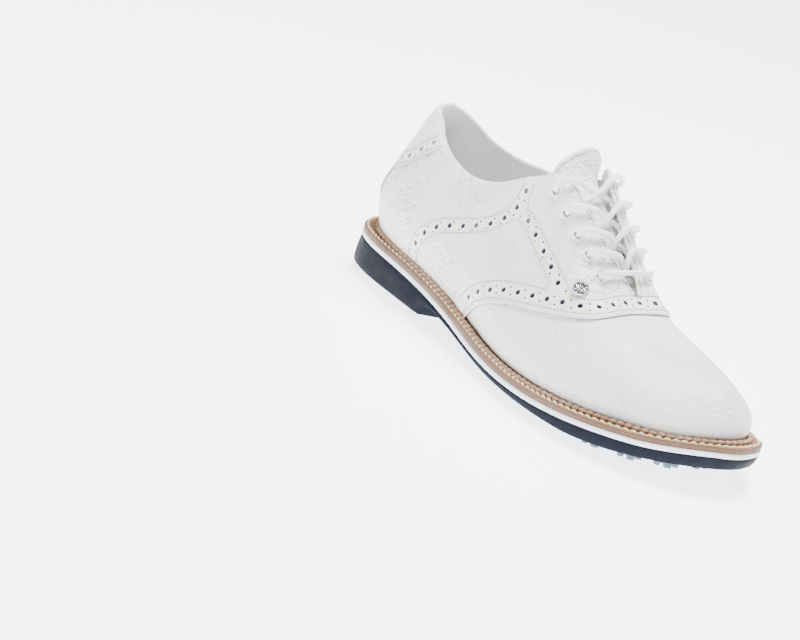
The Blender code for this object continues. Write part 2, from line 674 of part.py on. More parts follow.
def tongue_loop(by):
    """The tongue's outline, narrower by `by` in t at its widest and shorter at its top."""
    keep = 1 - by / tongue_half
    left = [(s, TONGUE_MIDDLE + (t - TONGUE_MIDDLE) * keep) for s, t in TONGUE_SIDE]
    left[-1] = (left[-1][0] + 20 * by, left[-1][1])
    top = [(s + 40 * by, TONGUE_MIDDLE + (t - TONGUE_MIDDLE) * keep) for s, t in TONGUE_TOP]
    right = [(s, 2 * TONGUE_MIDDLE - t) for s, t in left]
    return anticlockwise([run(flat(left)), run(flat([left[-1], *top, right[-1]])),
                          run(flat(right[::-1])), run(flat([right[0], left[0]]))])


tongue_parts = [
    piece("tongue", "leather", tongue_loop(0), TONGUE, step=5, lift=rise, spread=TONGUE_EVEN),
    piece("tongue_padding", "foam", tongue_loop(0.075), TONGUE_PAD, step=5, lift=rise,
          spread=TONGUE_EVEN),
]
hinge = bpy.data.objects.new("tongue_hinge", None)
hinge.location = Vector(LAST.over(224, TONGUE_MIDDLE, -6)[0]) * MM
shoe.objects.link(hinge)
for obj in tongue_parts:
    obj.parent = hinge
    obj.location = -hinge.location

# ------------------------------------------------------------------ eyelets, ornament, lace
e = EYELET
inner = -e["lift"] - QUARTER[1] - 1.1  # the inner flange's face, behind the quarter
eyelet_profile = [
    (e["hole"], e["height"]), (e["flange"] - 0.8, e["height"]), (e["flange"], 0),
    (e["barrel"], 0), (e["barrel"], inner), (e["barrel"] + 0.15, inner),
    (e["barrel"] + 0.15, inner - 0.4), (e["hole"], inner - 0.4),
]
for side_name, places in EYELETS.items():
    for number, (s, t) in enumerate(places, 1):
        turned(f"eyelet_{side_name}_{number}", "enamel", eyelet_profile,
               frame_at(s, t, QUARTER[0] + e["lift"]), 10)

turned("ornament", "silver", [
    (0, 1.2), (3.4, 1.1), (3.9, 1.6), (4.6, 0.9), (4.4, 0), (1.4, 0), (1.4, -2.0), (0, -2.0)],
    frame_at(*ORNAMENT, QUARTER[0] + 0.8), 16, False)


def lace_half(start, cross_over):
    """The lace from its bar over the lowest eyelets, up to one top eyelet and inside.

    It dives through an eyelet, comes up from under the facing into the throat and crosses
    to the eyelet above on the other side, four times.
    """
    edges = {"lateral": FACING_LATERAL, "medial": FACING_MEDIAL}
    path, here = [], start
    for level in range(4, -1, -1):
        s, t = EYELETS[here][level]
        out = -1 if here == "lateral" else 1
        path += [(s, t - out * 0.008, 5.1), (s, t, 4.0), (s, t, -1.8)]
        if level == 0:
            break
        knots = np.array(edges[here], float)
        s_edge = s - 4.5
        t_edge = np.interp(s_edge, knots[:, 0], knots[:, 1])
        nxt = "medial" if here == "lateral" else "lateral"
        s2, t2 = EYELETS[nxt][level - 1]
        t2_edge = np.interp(s2, *np.array(edges[nxt], float).T)
        high = cross_over == nxt
        middle = (t_edge + t2_edge) / 2
        path += [(s - 0.5, t - out * 0.008, -3.8), (s_edge + 1, t_edge + out * 0.02, -4.0),
                 (s_edge - 0.5, t_edge - out * 0.04, -3.0 if not high else -2.4),
                 ((s_edge + s2) / 2, middle, 3.4 if high else -0.6),
                 (s2 + 1.2, t2_edge + out * 0.01, 4.8 if high else 3.6),
                 (s2 + 0.3, t2 + out * 0.045, 5.0)]
        here = nxt
    out = -1 if here == "lateral" else 1
    s, t = EYELETS[here][0]
    edge = 0.325 if here == "lateral" else 0.325 + 2 * TONGUE_MIDDLE
    path += [(s + 0.4, t + out * 0.008, -3.7), (s + 1, out * (edge + 0.004), -4.2),
             (s + 2, out * (edge + 0.062), -5.7), (s + 2.6, out * (edge + 0.085), -6.1)]
    tail = [(s + 2.9, out * (edge + 0.10), -6.2), (s + 5, out * (edge + 0.22), -6.7)]
    return path, tail


def lay(path):
    s, t, height = np.array(path, float).T
    return LAST.over(s, t, height)


first, first_tail = lace_half("medial", "medial")
second, second_tail = lace_half("lateral", "medial")
(s_a, t_a), (s_b, t_b) = EYELETS["lateral"][4], EYELETS["medial"][4]
bar = [(s_a + (s_b - s_a) * k, t_a + (t_b - t_a) * k, 4.4) for k in (0.15, 0.4, 0.6, 0.85)]
tube("lace", "lace", lay(second[::-1] + bar + first), LACE_R)
for name, tail in (("aglet_medial", first_tail), ("aglet_lateral", second_tail)):
    a, b = lay(tail)
    tube(name, "clear", [a, a + (b - a) / np.linalg.norm(b - a) * AGLET[1]], AGLET[0])

# ------------------------------------------------------------------ sole
outline = closed_run(SOLE, 12)


def flat_z(function, by):
    """Heights over (x, y) from heights along x."""
    return lambda x, y: function(x) + by


def over_ground(x, y):
    """The sole's underside: the heel block, the slope at its breast, the waist and forepart."""
    (ax, ay), (bx, by) = BREAST
    length = math.hypot(bx - ax, by - ay)
    ahead = ((x - ax) * (by - ay) - (y - ay) * (bx - ax)) / length
    waist = ground_z(x)
    return np.where(ahead < BREAST_RUN,
                    HEEL_Z + (waist - HEEL_Z) * np.clip(ahead / BREAST_RUN, 0, 1), waist)


def breast_line(ahead):
    """A line across the sole, `ahead` in front of the breast."""
    (ax, ay), (bx, by) = BREAST
    d = np.array([bx - ax, by - ay]) / math.hypot(bx - ax, by - ay)
    foot = np.array([ax, ay]) + np.array([d[1], -d[0]]) * ahead
    return foot - 20 * d, foot + 95 * d


def flare(x):
    """How far the sole's lower edge stands out from its upper: out at the heel, in at the toe."""
    return np.interp(x, [-150, -60, 0, 120, 152], [1.2, 0.8, -0.8, -1.8, -2.6])


slab("welt", "welt", outline, flat_z(welt_z, 0), flat_z(welt_z, -WELT), [feather(2.2)])
slab("midsole_strip", "strip", outline, flat_z(welt_z, -WELT - GAP),
     flat_z(welt_z, -WELT - GAP - STRIP))
under_strip = -WELT - STRIP - 2 * GAP
sole = slab("sole_unit", "navy", outline, flat_z(welt_z, under_strip), over_ground, step=12,
            lines=[breast_line(0), breast_line(BREAST_RUN)], spread=flare)

plate_loop = anticlockwise([
    run(PLATE_LATERAL, 9), run([PLATE_LATERAL[-1], (34.3, -42.6), PLATE_TOE[0]], 5),
    run(PLATE_TOE, 9), run([PLATE_TOE[-1], (76.3, 42.8), PLATE_WAIST[0]], 5),
    run(PLATE_WAIST, 9), run([PLATE_WAIST[-1], PLATE_LATERAL[0]], 9)])
pad_loop = anticlockwise([run(PAD_OUTER, 9), run([PAD_OUTER[-1], PAD_WEDGE[0]], 4),
                          run(PAD_WEDGE[:2], 9), run(PAD_WEDGE[1:3], 9),
                          run(PAD_WEDGE[2:], 9), run([PAD_WEDGE[-1], PAD_OUTER[0]], 9)])
boolean(sole, slab("plate_pocket", None, inset(plate_loop, -0.4),
                   lambda x, y: ground_z(x) + PLATE + GAP, lambda x, y: ground_z(x) - 4))
boolean(sole, slab("pad_pocket", None, inset(pad_loop, -0.4),
                   lambda x, y: HEEL_Z + PAD + GAP + 0 * x, lambda x, y: 0 * x - 1))


def groove(x, y):
    """Depth of the flex groove under the ball."""
    (ax, ay), (bx, by) = GROOVE
    off = np.abs((x - ax) * (by - ay) - (y - ay) * (bx - ax)) / math.hypot(bx - ax, by - ay)
    return 1.2 * np.clip(1 - off / 3, 0, 1)


def beside(line, by):
    (ax, ay), (bx, by_) = line
    d = np.array([bx - ax, by_ - ay]) / math.hypot(bx - ax, by_ - ay)
    shift = np.array([d[1], -d[0]]) * by
    return np.array(line[0]) + shift - 3 * d, np.array(line[1]) + shift + 3 * d


plate = slab("forefoot_plate", "blue", plate_loop, lambda x, y: ground_z(x) + PLATE,
             lambda x, y: ground_z(x) - PROUD + groove(x, y), step=13,
             lines=[beside(GROOVE, -3), beside(GROOVE, 0), beside(GROOVE, 3)])
pad = slab("heel_pad", "clear", pad_loop, lambda x, y: HEEL_Z + PAD + 0 * x,
           lambda x, y: HEEL_Z - PROUD + 0 * x, step=13)


def nubs(name, clusters):
    """Four-cornered groups of blunt spikes, each a tapered block set into the rubber."""
    bm = bmesh.new()
    for (x, y), apart, radius, z in clusters:
        for i in range(4):
            turn = math.radians(45 + 90 * i + 12)
            at = Vector((x + apart * math.cos(turn), y + apart * math.sin(turn), 0))
            base = z(at.x)
            cone = Matrix.Translation(at + Vector((0, 0, base - NUB / 2 + 0.5))) @ (
                Matrix.Rotation(turn, 4, "Z"))
            bmesh.ops.create_cone(bm, cap_ends=True, segments=4, radius1=radius * 0.72,
                                  radius2=radius, depth=NUB + 1.0, matrix=cone)
    return new_object(name, bm)


def forefoot_z(x):
    return float(ground_z(np.array([x]))[0])


boolean(plate, nubs("forefoot_nubs", [(p, 5.6, 2.9, forefoot_z) for p in SMALL_NUBS]
                    + [(p, 9.4, 4.6, forefoot_z) for p in LARGE_NUBS]), "UNION")
boolean(pad, nubs("heel_nubs", [(p, 8.6, 4.4, lambda x: HEEL_Z) for p in HEEL_NUBS]), "UNION")

ex, ey, er = EMBLEM
low = float(over_ground(np.array([ex]), np.array([ey]))[0])
slope = float((ground_z(np.array([ex + 5.0])) - ground_z(np.array([ex - 5.0])))[0]) / 10
ring_frame = Matrix.Translation(Vector((ex, ey, low - GAP - 0.2)) * MM) @ Matrix.Rotation(
    -math.atan(slope), 4, "Y")
turned("emblem_ring", "white", [(er, 0), (er, -0.7), (er - 1.3, -0.7), (er - 1.3, 0)],
       ring_frame, 20)

# ------------------------------------------------------------------ inside
INSOLE, FILLER = 2.0, 2.4
slab("insole_board", "board", feather(5.2), flat_z(welt_z, 0.4 + INSOLE), flat_z(welt_z, 0.4),
     step=16)
cork = slab("cork_filler", "cork", feather(2.7), flat_z(welt_z, 0.1),
            flat_z(welt_z, 0.1 - FILLER), step=16)


def shank_loop(by):
    return np.array([(-95 - by, -7 - by), (15 + by, -7 - by), (15 + by, 7 + by),
                     (-95 - by, 7 + by)], float)


def between_corners(loop, parts=8):
    """The loop with its long sides divided, to follow the sole's curve."""
    steps = np.linspace(0, 1, parts + 1)[:-1, None]
    return np.concatenate([a + (b - a) * (steps if i % 2 == 0 else steps[:1])
                           for i, (a, b) in enumerate(zip(loop, np.roll(loop, -1, 0)))])


boolean(cork, slab("shank_slot", None, between_corners(shank_loop(GAP)), flat_z(welt_z, 3),
                   flat_z(welt_z, -1.5), step=14))
slab("shank", "steel", between_corners(shank_loop(0)), flat_z(welt_z, 0.05),
     flat_z(welt_z, -1.15), step=14)
slab("footbed", "foam", feather(6.3), lambda x, y: welt_z(x) + 6.4 + np.clip(
    (np.abs(y) - 14) / 14, 0, 1) * np.clip((-20 - x) / 60, 0, 1) * 3,
    flat_z(welt_z, 0.7 + INSOLE), step=12)

for obj in [*shoe.objects, *cutters.objects]:
    if obj.parent is None:
        obj.location -= Vector((CENTRE[0], CENTRE[1], 0)) * MM
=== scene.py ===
"""The looks of the golf shoe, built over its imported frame.

Lengths are millimetres until a mesh is made; the frame's own unit is the metre.
"""

import math

import bmesh
import bpy
import numpy as np
from mathutils import Matrix, Vector, kdtree
from mathutils.geometry import delaunay_2d_cdt


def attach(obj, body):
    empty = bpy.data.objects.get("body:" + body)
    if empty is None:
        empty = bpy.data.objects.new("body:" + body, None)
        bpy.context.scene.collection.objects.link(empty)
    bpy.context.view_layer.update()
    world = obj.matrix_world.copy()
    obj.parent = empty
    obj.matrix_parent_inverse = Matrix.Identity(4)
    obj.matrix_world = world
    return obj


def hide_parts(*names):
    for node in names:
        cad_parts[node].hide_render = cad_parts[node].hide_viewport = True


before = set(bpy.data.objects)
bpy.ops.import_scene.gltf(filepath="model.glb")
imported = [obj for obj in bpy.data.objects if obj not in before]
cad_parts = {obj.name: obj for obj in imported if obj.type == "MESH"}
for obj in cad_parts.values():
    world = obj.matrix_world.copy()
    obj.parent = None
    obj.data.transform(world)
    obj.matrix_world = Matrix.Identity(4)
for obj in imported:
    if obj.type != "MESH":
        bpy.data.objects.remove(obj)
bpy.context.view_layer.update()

MM = 0.001
GAP = 0.3
CENTRE = (0.75, -1.1)  # the last's own origin, seen from the frame's
BODY, TONGUE_BODY = "shoe", "tongue"


# ------------------------------------------------------------------ camera
def rolled_camera(azimuth, elevation, roll, distance, focal, shift_right, shift_up, target):
    """A camera round a target, rolled about its own axis. Lengths are metres, angles degrees."""
    a, e, r = (math.radians(v) for v in (azimuth, elevation, roll))
    back = Vector((math.sin(a) * math.cos(e), -math.cos(a) * math.cos(e), math.sin(e)))
    level = Vector((math.cos(a), math.sin(a), 0))
    up = back.cross(level)
    right = level * math.cos(r) + up * math.sin(r)
    top = up * math.cos(r) - level * math.sin(r)
    place = target + back * distance - right * shift_right + top * shift_up
    data = bpy.data.cameras.new("camera")
    data.lens, data.sensor_width = focal, 36
    data.clip_start, data.clip_end = 0.05, 50
    camera = bpy.data.objects.new("camera", data)
    turn = Matrix((right, top, back)).transposed().to_4x4()
    camera.matrix_world = Matrix.Translation(place) @ turn
    bpy.context.scene.collection.objects.link(camera)
    bpy.context.scene.camera = camera


rolled_camera(azimuth=51.8, elevation=17.6, roll=16.0, distance=1.6, focal=137.3,
              shift_right=0.0845, shift_up=-0.0206,
              target=Vector((-CENTRE[0] * MM, -CENTRE[1] * MM, 0.05)))

# The last, the foot form that the upper is stretched over. Each station gives the feather line
# (x, lateral y, medial y, z), the ridge over it (x, y, z) and how much its section is a heel's
# and a throat's. What is left of the two weights is a toe's.
STATIONS = [
    (-143, 0, 0, 25.2, -112, 0, 150, 1, 0),
    (-140, -13.5, 12.6, 25.2, -110, 0, 150, 1, 0),
    (-130, -24, 22, 25.2, -106, 0, 150, 1, 0),
    (-114, -30.2, 28.5, 25.2, -97, 0, 151, 1, 0),
    (-92, -33, 30.6, 24.6, -84, 0.8, 151, 1, 0),
    (-62, -34.2, 29, 22.4, -60, 2.5, 146, 0.6, 0.4),
    (-28, -37.5, 28.2, 18.4, -28.5, 4, 125, 0.1, 0.9),
    (6, -43.8, 31.3, 14.8, 6, 4.5, 99.5, 0, 1),
    (40, -48, 38.5, 13.9, 35, 4.5, 73, 0, 0.8),
    (70, -47.3, 43.7, 15.2, 58, 4.5, 58.5, 0, 0.4),
    (96, -41.2, 44.1, 17.5, 78, 5, 54, 0, 0.1),
    (117, -31.2, 39.7, 19.9, 93, 6, 50.5, 0, 0),
    (134, -18.2, 30.6, 22.2, 105, 6.5, 49, 0, 0),
    (142.5, -4.2, 19.3, 24.0, 112, 7, 48.8, 0, 0),
    (145, 7.5, 7.5, 25.2, 115, 7, 49, 0, 0),
]
# From the feather to the ridge: how much of the width is left, and how much height is reached.
SECTIONS = {
    "heel": ((1, 1.13, 0.74, 0.44, 0), (0, 0.20, 0.51, 0.83, 1)),
    "throat": ((1, 1.03, 0.78, 0.49, 0), (0, 0.25, 0.565, 0.98, 1)),
    "toe": ((1, 1.04, 0.89, 0.53, 0), (0, 0.325, 0.65, 0.915, 1)),
}
GIRTH = 80  # a half girth, to give t the scale of s on the flat pattern
STEP = 9.0

# Pattern lines as (s, t): s runs along the feather line from the heel, t from -1 on the
# lateral feather over the ridge at 0 to 1 on the medial feather.
COLLAR = [(0, -0.425), (15, -0.428), (30, -0.442), (43, -0.462), (51, -0.486), (62, -0.510),
          (79, -0.533), (93, -0.535), (110, -0.503), (124, -0.448), (136, -0.385), (148, -0.31)]
COLLAR_MEDIAL = [(0, 0.425), (15, 0.443), (30, 0.472), (43, 0.503), (51, 0.511), (62, 0.513),
                 (79, 0.508), (93, 0.495), (110, 0.470), (124, 0.430), (136, 0.378), (148, 0.31)]
FACING_LATERAL = [(157.5, -0.208), (162, -0.171), (173, -0.128), (182, -0.083), (191.5, -0.045),
                  (202, -0.002), (209, 0.014), (217.5, 0.040)]
FACING_MEDIAL = [(152, 0.19), (156, 0.145), (170, 0.108), (178, 0.103), (186, 0.104),
                 (196, 0.103), (204, 0.098), (217.5, 0.062)]
FRONT_LATERAL = [(234.2, 0.046), (234.4, -0.143), (228.7, -0.298), (216.5, -0.414),
                 (194.7, -0.551), (170.7, -0.697), (157.4, -0.80), (147.7, -0.889),
                 (139.5, -0.992)]
FRONT_MEDIAL = [(234.2, 0.054), (232.5, 0.12), (227, 0.25), (216, 0.385), (197, 0.535),
                (172, 0.685), (155, 0.80), (145, 0.885), (138, 0.992)]
EYELETS = {
    "lateral": [(160.5, -0.282), (173, -0.258), (184.6, -0.23), (195.2, -0.197),
                (207.9, -0.168)],
    "medial": [(158, 0.255), (170.5, 0.222), (182, 0.218), (193, 0.214), (205.5, 0.208)],
}
ORNAMENT = (209.5, -0.292)
TAB_EDGE = [(54, -0.556), (50, -0.58), (44, -0.62), (34, -0.654), (27, -0.685),
            (24, -0.76), (21, -0.82), (17, -0.90), (15.5, -0.992)]
TONGUE_MIDDLE = 0.035
TONGUE_SIDE = [(224, -0.13), (212, -0.165), (200, -0.205), (180, -0.265), (165, -0.29),
               (154, -0.305), (146, -0.33)]  # on the lateral side of the tongue's middle
TONGUE_TOP = [(144.8, -0.25), (144.2, -0.17), (143.3, -0.09), (142.2, 0.0), (141.3, 0.08),
              (141.0, 0.16), (141.8, 0.25), (143.8, 0.33)]
TONGUE_EVEN = 0.13  # how far in t the bend of the instep is evened out for the tongue
TONGUE_RISE = 1.0, 7.5  # how far the tongue's free end stands up, at its sides and its middle

# The sole. Its outline from above, going round from the heel's back along the lateral side.
SOLE = [(-153.5, 0.5), (-150, -17), (-139, -29.5), (-119, -37), (-92, -39.5), (-62, -40.5),
        (-28, -43.5), (6, -49.5), (40, -54), (70, -54.3), (98, -49.3), (121, -39.5), (140, -24.5),
        (151, -7), (154.5, 8), (151, 24), (139.5, 37), (120, 47), (97, 52), (70, 51.8),
        (40, 46.3), (8, 38.2), (-28, 34.3), (-62, 34.8), (-92, 37.3), (-119, 35.5), (-138.5, 28.5),
        (-150, 17)]
WELT_TOP = [(-150, 24.8), (-114, 24.8), (-92, 24.2), (-62, 22.0), (-28, 18.0), (6, 14.4),
            (40, 13.5), (70, 14.8), (96, 17.1), (117, 19.5), (134, 21.9), (145, 24.3),
            (152, 25.8)]
WELT, STRIP = 2.6, 3.0
GROUND_SIDE = [(-60, 12.0), (-45, 11.5), (-30, 10.0), (-10, 7.5), (10, 5.4), (30, 4.3),
               (48, 4.0), (88, 4.0), (105, 5.2), (125, 8.0), (140, 10.8), (152, 13.0)]
HEEL_Z = 4.0  # underside of the heel block, a nub's height over the ground
BREAST = ((-56, -34), (-32, 32))  # the slanted front of the heel block
BREAST_RUN = 5
PLATE = 1.7  # depth of the forefoot plate's pocket
PAD = 3.0
PROUD = 0.4  # how far the plate and the pad stand out of the sole

PLATE_LATERAL = [(-49, -33), (-28, -36), (6, -41.5), (30, -45.2)]
PLATE_TOE = [(39, -46.2), (70, -46.5), (98, -41.5), (120, -32), (137, -18), (144, -3), (145, 8),
             (142, 21), (133, 32), (117, 41), (97, 45.5), (81, 46)]
PLATE_WAIST = [(72, 45.5), (60, 43.5), (40, 37.5), (20, 28.5), (5, 13), (-8, -2), (-20, -9.5),
               (-32, -12.5), (-40.5, -13.5)]
GROOVE = ((34.5, -43), (76.5, 43))  # flex groove across the ball
PAD_OUTER = [(-38.5, 28.5), (-62, 28.3), (-92, 30), (-118, 28), (-134, 21.5), (-142, 12),
             (-144.5, 0), (-142, -12), (-134, -22), (-118, -29), (-92, -32), (-64, -33)]
PAD_WEDGE = [(-62.5, -29), (-54.5, -7.5), (-94, 0), (-49.5, 6.5)]
SMALL_NUBS = [(130, 6), (112, -8), (126, 21), (95, 9), (62, 1), (51, -21), (83, 36), (75, 20),
              (40, 7), (19, 1), (19, 16), (-21, -21.5), (-35.5, -24), (2, -3), (46, -36.5),
              (65, -37.5), (96, -32), (115, -24), (129, -12)]
LARGE_NUBS = [(79, -19), (104, 28), (20, -24), (52, 27), (-2.5, -24)]
HEEL_NUBS = [(-59, 17.5), (-86, 18), (-74, -19), (-103, -15), (-124, 4)]
EMBLEM = (-14, 13, 10)  # centre and radius of the plain ring on the waist


# ------------------------------------------------------------------ splines and the last
def moments(knots, data, period=None):
    """Second derivatives of the cubic spline through data, periodic or with natural ends."""
    n = len(knots)
    if period:
        h = np.diff(np.append(knots, knots[0] + period))
        a, r = np.zeros((n, n)), np.zeros((n, n))
        rows = range(n)
    else:
        h = np.append(np.diff(knots), 1)
        a, r = np.eye(n), np.zeros((n, n))
        rows = range(1, n - 1)
    for i in rows:
        p, q = (i - 1) % n, (i + 1) % n
        a[i] = 0
        a[i, p] += h[p]
        a[i, i] += 2 * (h[p] + h[i])
        a[i, q] += h[i]
        r[i, p] += 6 / h[p]
        r[i, i] -= 6 / h[p] + 6 / h[i]
        r[i, q] += 6 / h[i]
    return np.linalg.solve(a, r @ data)


def weights(knots, at, period=None):
    """Row per place in `at`: the weight of each knot's value in the spline there."""
    n = len(knots)
    m = moments(knots, np.eye(n), period)
    at = np.asarray(at, float)
    k = np.append(knots, knots[0] + period) if period else np.asarray(knots, float)
    if period:
        at = (at - k[0]) % period + k[0]
    i = np.clip(np.searchsorted(k, at, side="right") - 1, 0, len(k) - 2)
    j = (i + 1) % n
    h = k[i + 1] - k[i]
    a = (k[i + 1] - at) / h
    b = 1 - a
    eye = np.eye(n)
    bend_a, bend_b = (a**3 - a) * h * h / 6, (b**3 - b) * h * h / 6
    return a[:, None] * eye[i] + b[:, None] * eye[j] + bend_a[:, None] * m[i] + bend_b[:, None] * m[j]


def curve_z(table):
    """The height at any x, smooth through a table of (x, z)."""
    xs, zs = np.array(table, float).T
    return lambda x: weights(xs, np.clip(x, xs[0], xs[-1])) @ zs


class Last:
    """A smooth surface over (s, t), closed round the heel's back and over the toe's tip."""

    def __init__(self):
        rows = np.array(STATIONS, float)
        heel, throat = rows[:, 7], rows[:, 8]
        share = {"heel": heel, "throat": throat, "toe": 1 - heel - throat}
        ridge = rows[:, 4:7]
        sides = []
        for column in (1, 2):
            feather = rows[:, [0, column, 3]]
            side = []
            for level in range(4):
                wide = sum(share[k] * SECTIONS[k][0][level] for k in share)
                high = sum(share[k] * SECTIONS[k][1][level] for k in share)
                side.append(ridge + (feather - ridge) * np.stack([wide, wide, 1 - high], 1))
            sides.append(side)
        net = np.stack(sides[0] + [ridge] + sides[1][::-1], 1)
        chords = [np.linalg.norm(np.diff(side[0], axis=0), axis=1) for side in sides]
        s = np.append(0, np.cumsum((chords[0] + chords[1]) / 2))
        self.length = s[-1]
        self.knots = np.append(s, 2 * self.length - s[-2:0:-1])
        self.net = np.concatenate([net, net[-2:0:-1, ::-1]])

    def at(self, s, t, spread=0):
        """Points in mm. A negative s lies past the heel's back, on the other side.

        With a `spread` they are the mean over that much of t each way, which evens bends out.
        """
        s, t = np.atleast_1d(s).astype(float), np.atleast_1d(t).astype(float)
        if spread:
            return np.mean([self.at(s, t + spread * k / 4) for k in range(-4, 5)], axis=0)
        t, s = np.where(s < 0, -t, t), np.abs(s)
        along = weights(self.knots, s, 2 * self.length)
        across = weights(np.linspace(-1, 1, 9), t)
        return np.einsum("kj,kjc->kc", across, np.tensordot(along, self.net, (1, 0)))

    def normal(self, s, t, spread=0):
        low, high = np.maximum(t - 0.004, -1), np.minimum(t + 0.004, 1)
        n = np.cross(self.at(s + 0.4, t, spread) - self.at(s - 0.4, t, spread),
                     self.at(s, high, spread) - self.at(s, low, spread))
        return n / np.linalg.norm(n, axis=1, keepdims=True)

    def over(self, s, t, offset, spread=0):
        """Points `offset` outside the surface. A `spread` evens bends in it out."""
        s, t = np.atleast_1d(s).astype(float), np.atleast_1d(t).astype(float)
        out = self.normal(s, t, 2.5 * spread)
        return self.at(s, t, spread) + out * np.reshape(offset, (-1, 1))


LAST = Last()
TIP = LAST.length
welt_z = curve_z(WELT_TOP)
ground_line = curve_z(GROUND_SIDE)


def ground_z(x):
    """The height of the sole's underside in front of the heel."""
    return np.maximum(ground_line(x), HEEL_Z)


# ------------------------------------------------------------------ outlines and flat meshes
def distances(points):
    """How far along a run of points each of them lies."""
    return np.append(0, np.cumsum(np.linalg.norm(np.diff(points, axis=0), axis=1)))


def between(at, u, points):
    """The points at the places `at`, on straight runs between points that lie at u."""
    return np.stack([np.interp(at, u, column) for column in points.T], 1)


def run(points, step=STEP):
    """Points about `step` apart on a smooth curve through the given ones, less the last."""
    p = np.array(points, float)
    u = distances(p)
    n = max(1, round(u[-1] / step))
    return weights(u, np.linspace(0, u[-1], n + 1)[:-1]) @ p


def flat(points):
    """(s, t) points on the flat pattern, both in mm."""
    return [(s, t * GIRTH) for s, t in points]


def closed_run(points, step):
    p = np.array(points, float)
    d = np.linalg.norm(np.roll(p, -1, 0) - p, axis=1)
    u = np.append(0, np.cumsum(d)[:-1])
    n = round(d.sum() / step)
    return weights(u, np.arange(n) * d.sum() / n, d.sum()) @ p


def inset(loop, by):
    """A closed anticlockwise loop moved inwards by `by`."""
    along = np.roll(loop, -1, 0) - loop
    along /= np.linalg.norm(along, axis=1, keepdims=True)
    ahead = np.stack([along[:, 1], -along[:, 0]], 1)
    back = np.roll(ahead, 1, 0)
    turn = np.maximum(1 + (ahead * back).sum(1, keepdims=True), 0.3)
    return loop - by * (ahead + back) / turn


def feather(by, step=12.0):
    """The last's outline at the sole, moved inwards by `by`."""
    n = round(LAST.length / step)
    s = np.linspace(0, LAST.length, n + 1)
    lateral = LAST.at(s, -np.ones(n + 1))[:, :2]
    medial = LAST.at(s[-2:0:-1], np.ones(n - 1))[:, :2]
    return inset(np.concatenate([lateral, medial]), by)


def sliced(function, points, *rest):
    """The function over the points a thousand at a time, which keeps its tables small."""
    return np.concatenate([function(points[i:i + 1000], *rest)
                           for i in range(0, len(points), 1000)])


def inside(points, loop):
    """Whether each point is in the loop, by counting the edges to its right."""
    a, b = loop, np.roll(loop, -1, 0)
    x, y = points[:, :1], points[:, 1:]
    spans = (a[:, 1] > y) != (b[:, 1] > y)
    rise = np.where(b[:, 1] == a[:, 1], 1e-12, b[:, 1] - a[:, 1])
    return (spans & (x < a[:, 0] + (y - a[:, 1]) * (b[:, 0] - a[:, 0]) / rise)).sum(1) % 2 == 1


def clearance(points, a, b):
    """The distance of each point to the nearest of the segments a-b."""
    d = b - a
    u = ((points[:, None] - a) * d).sum(2) / np.maximum((d * d).sum(1), 1e-12)
    nearest = a + np.clip(u, 0, 1)[..., None] * d
    return np.linalg.norm(points[:, None] - nearest, axis=2).min(1)


def fill(loop, holes=(), step=STEP, lines=(), extra=()):
    """Triangles over a closed outline with holes, on a staggered grid.

    Lines become edges, and extra points are taken in where the grid would be too coarse.
    """
    loops = [np.asarray(loop, float)] + [np.asarray(h, float) for h in holes]
    a = np.concatenate(loops + [np.array([line[0]], float) for line in lines])
    b = np.concatenate([np.roll(p, -1, 0) for p in loops]
                       + [np.array([line[1]], float) for line in lines])
    low, high = loops[0].min(0), loops[0].max(0)
    row = step * 0.87
    grid = np.array([(step * (i + (j % 2) / 2), row * j)
                     for j in range(math.floor(low[1] / row), math.ceil(high[1] / row))
                     for i in range(math.floor(low[0] / step) - 1, math.ceil(high[0] / step))])
    keep = sliced(inside, grid, loops[0]) & (sliced(clearance, grid, a, b) > 0.5 * step)
    for hole in loops[1:]:
        keep &= ~sliced(inside, grid, hole)
    if len(extra):
        extra = np.asarray(extra, float)
        extra = extra[sliced(inside, extra, loops[0])
                      & (sliced(clearance, extra, a, b) > 0.35)]
        tree = kdtree.KDTree(len(extra))
        for i, p in enumerate(extra):
            tree.insert((p[0], p[1], 0), i)
        tree.balance()
        keep &= np.array([tree.find((x, y, 0))[2] > 0.45 * step for x, y in grid])
    corners = [Vector(p) for loop in loops for p in loop]
    edges, start = [], 0
    for points in loops:
        n = len(points)
        edges += [(start + i, start + (i + 1) % n) for i in range(n)]
        start += n
    for line in lines:
        edges.append((len(corners), len(corners) + 1))
        corners += [Vector(p) for p in line]
    corners += [Vector(p) for p in grid[keep]] + [Vector(p) for p in extra]
    points, _, faces, *_ = delaunay_2d_cdt(corners, edges, [], 0, 1e-5)
    points = np.array([p[:] for p in points])
    middles = np.array([points[list(f)].mean(0) for f in faces])
    good = sliced(inside, middles, loops[0])
    for hole in loops[1:]:
        good &= ~sliced(inside, middles, hole)
    faces = [tuple(f) for f, ok in zip(faces, good) if ok]
    used = sorted({i for f in faces for i in f})
    index = {old: new for new, old in enumerate(used)}
    return points[used], [tuple(index[i] for i in f) for f in faces]




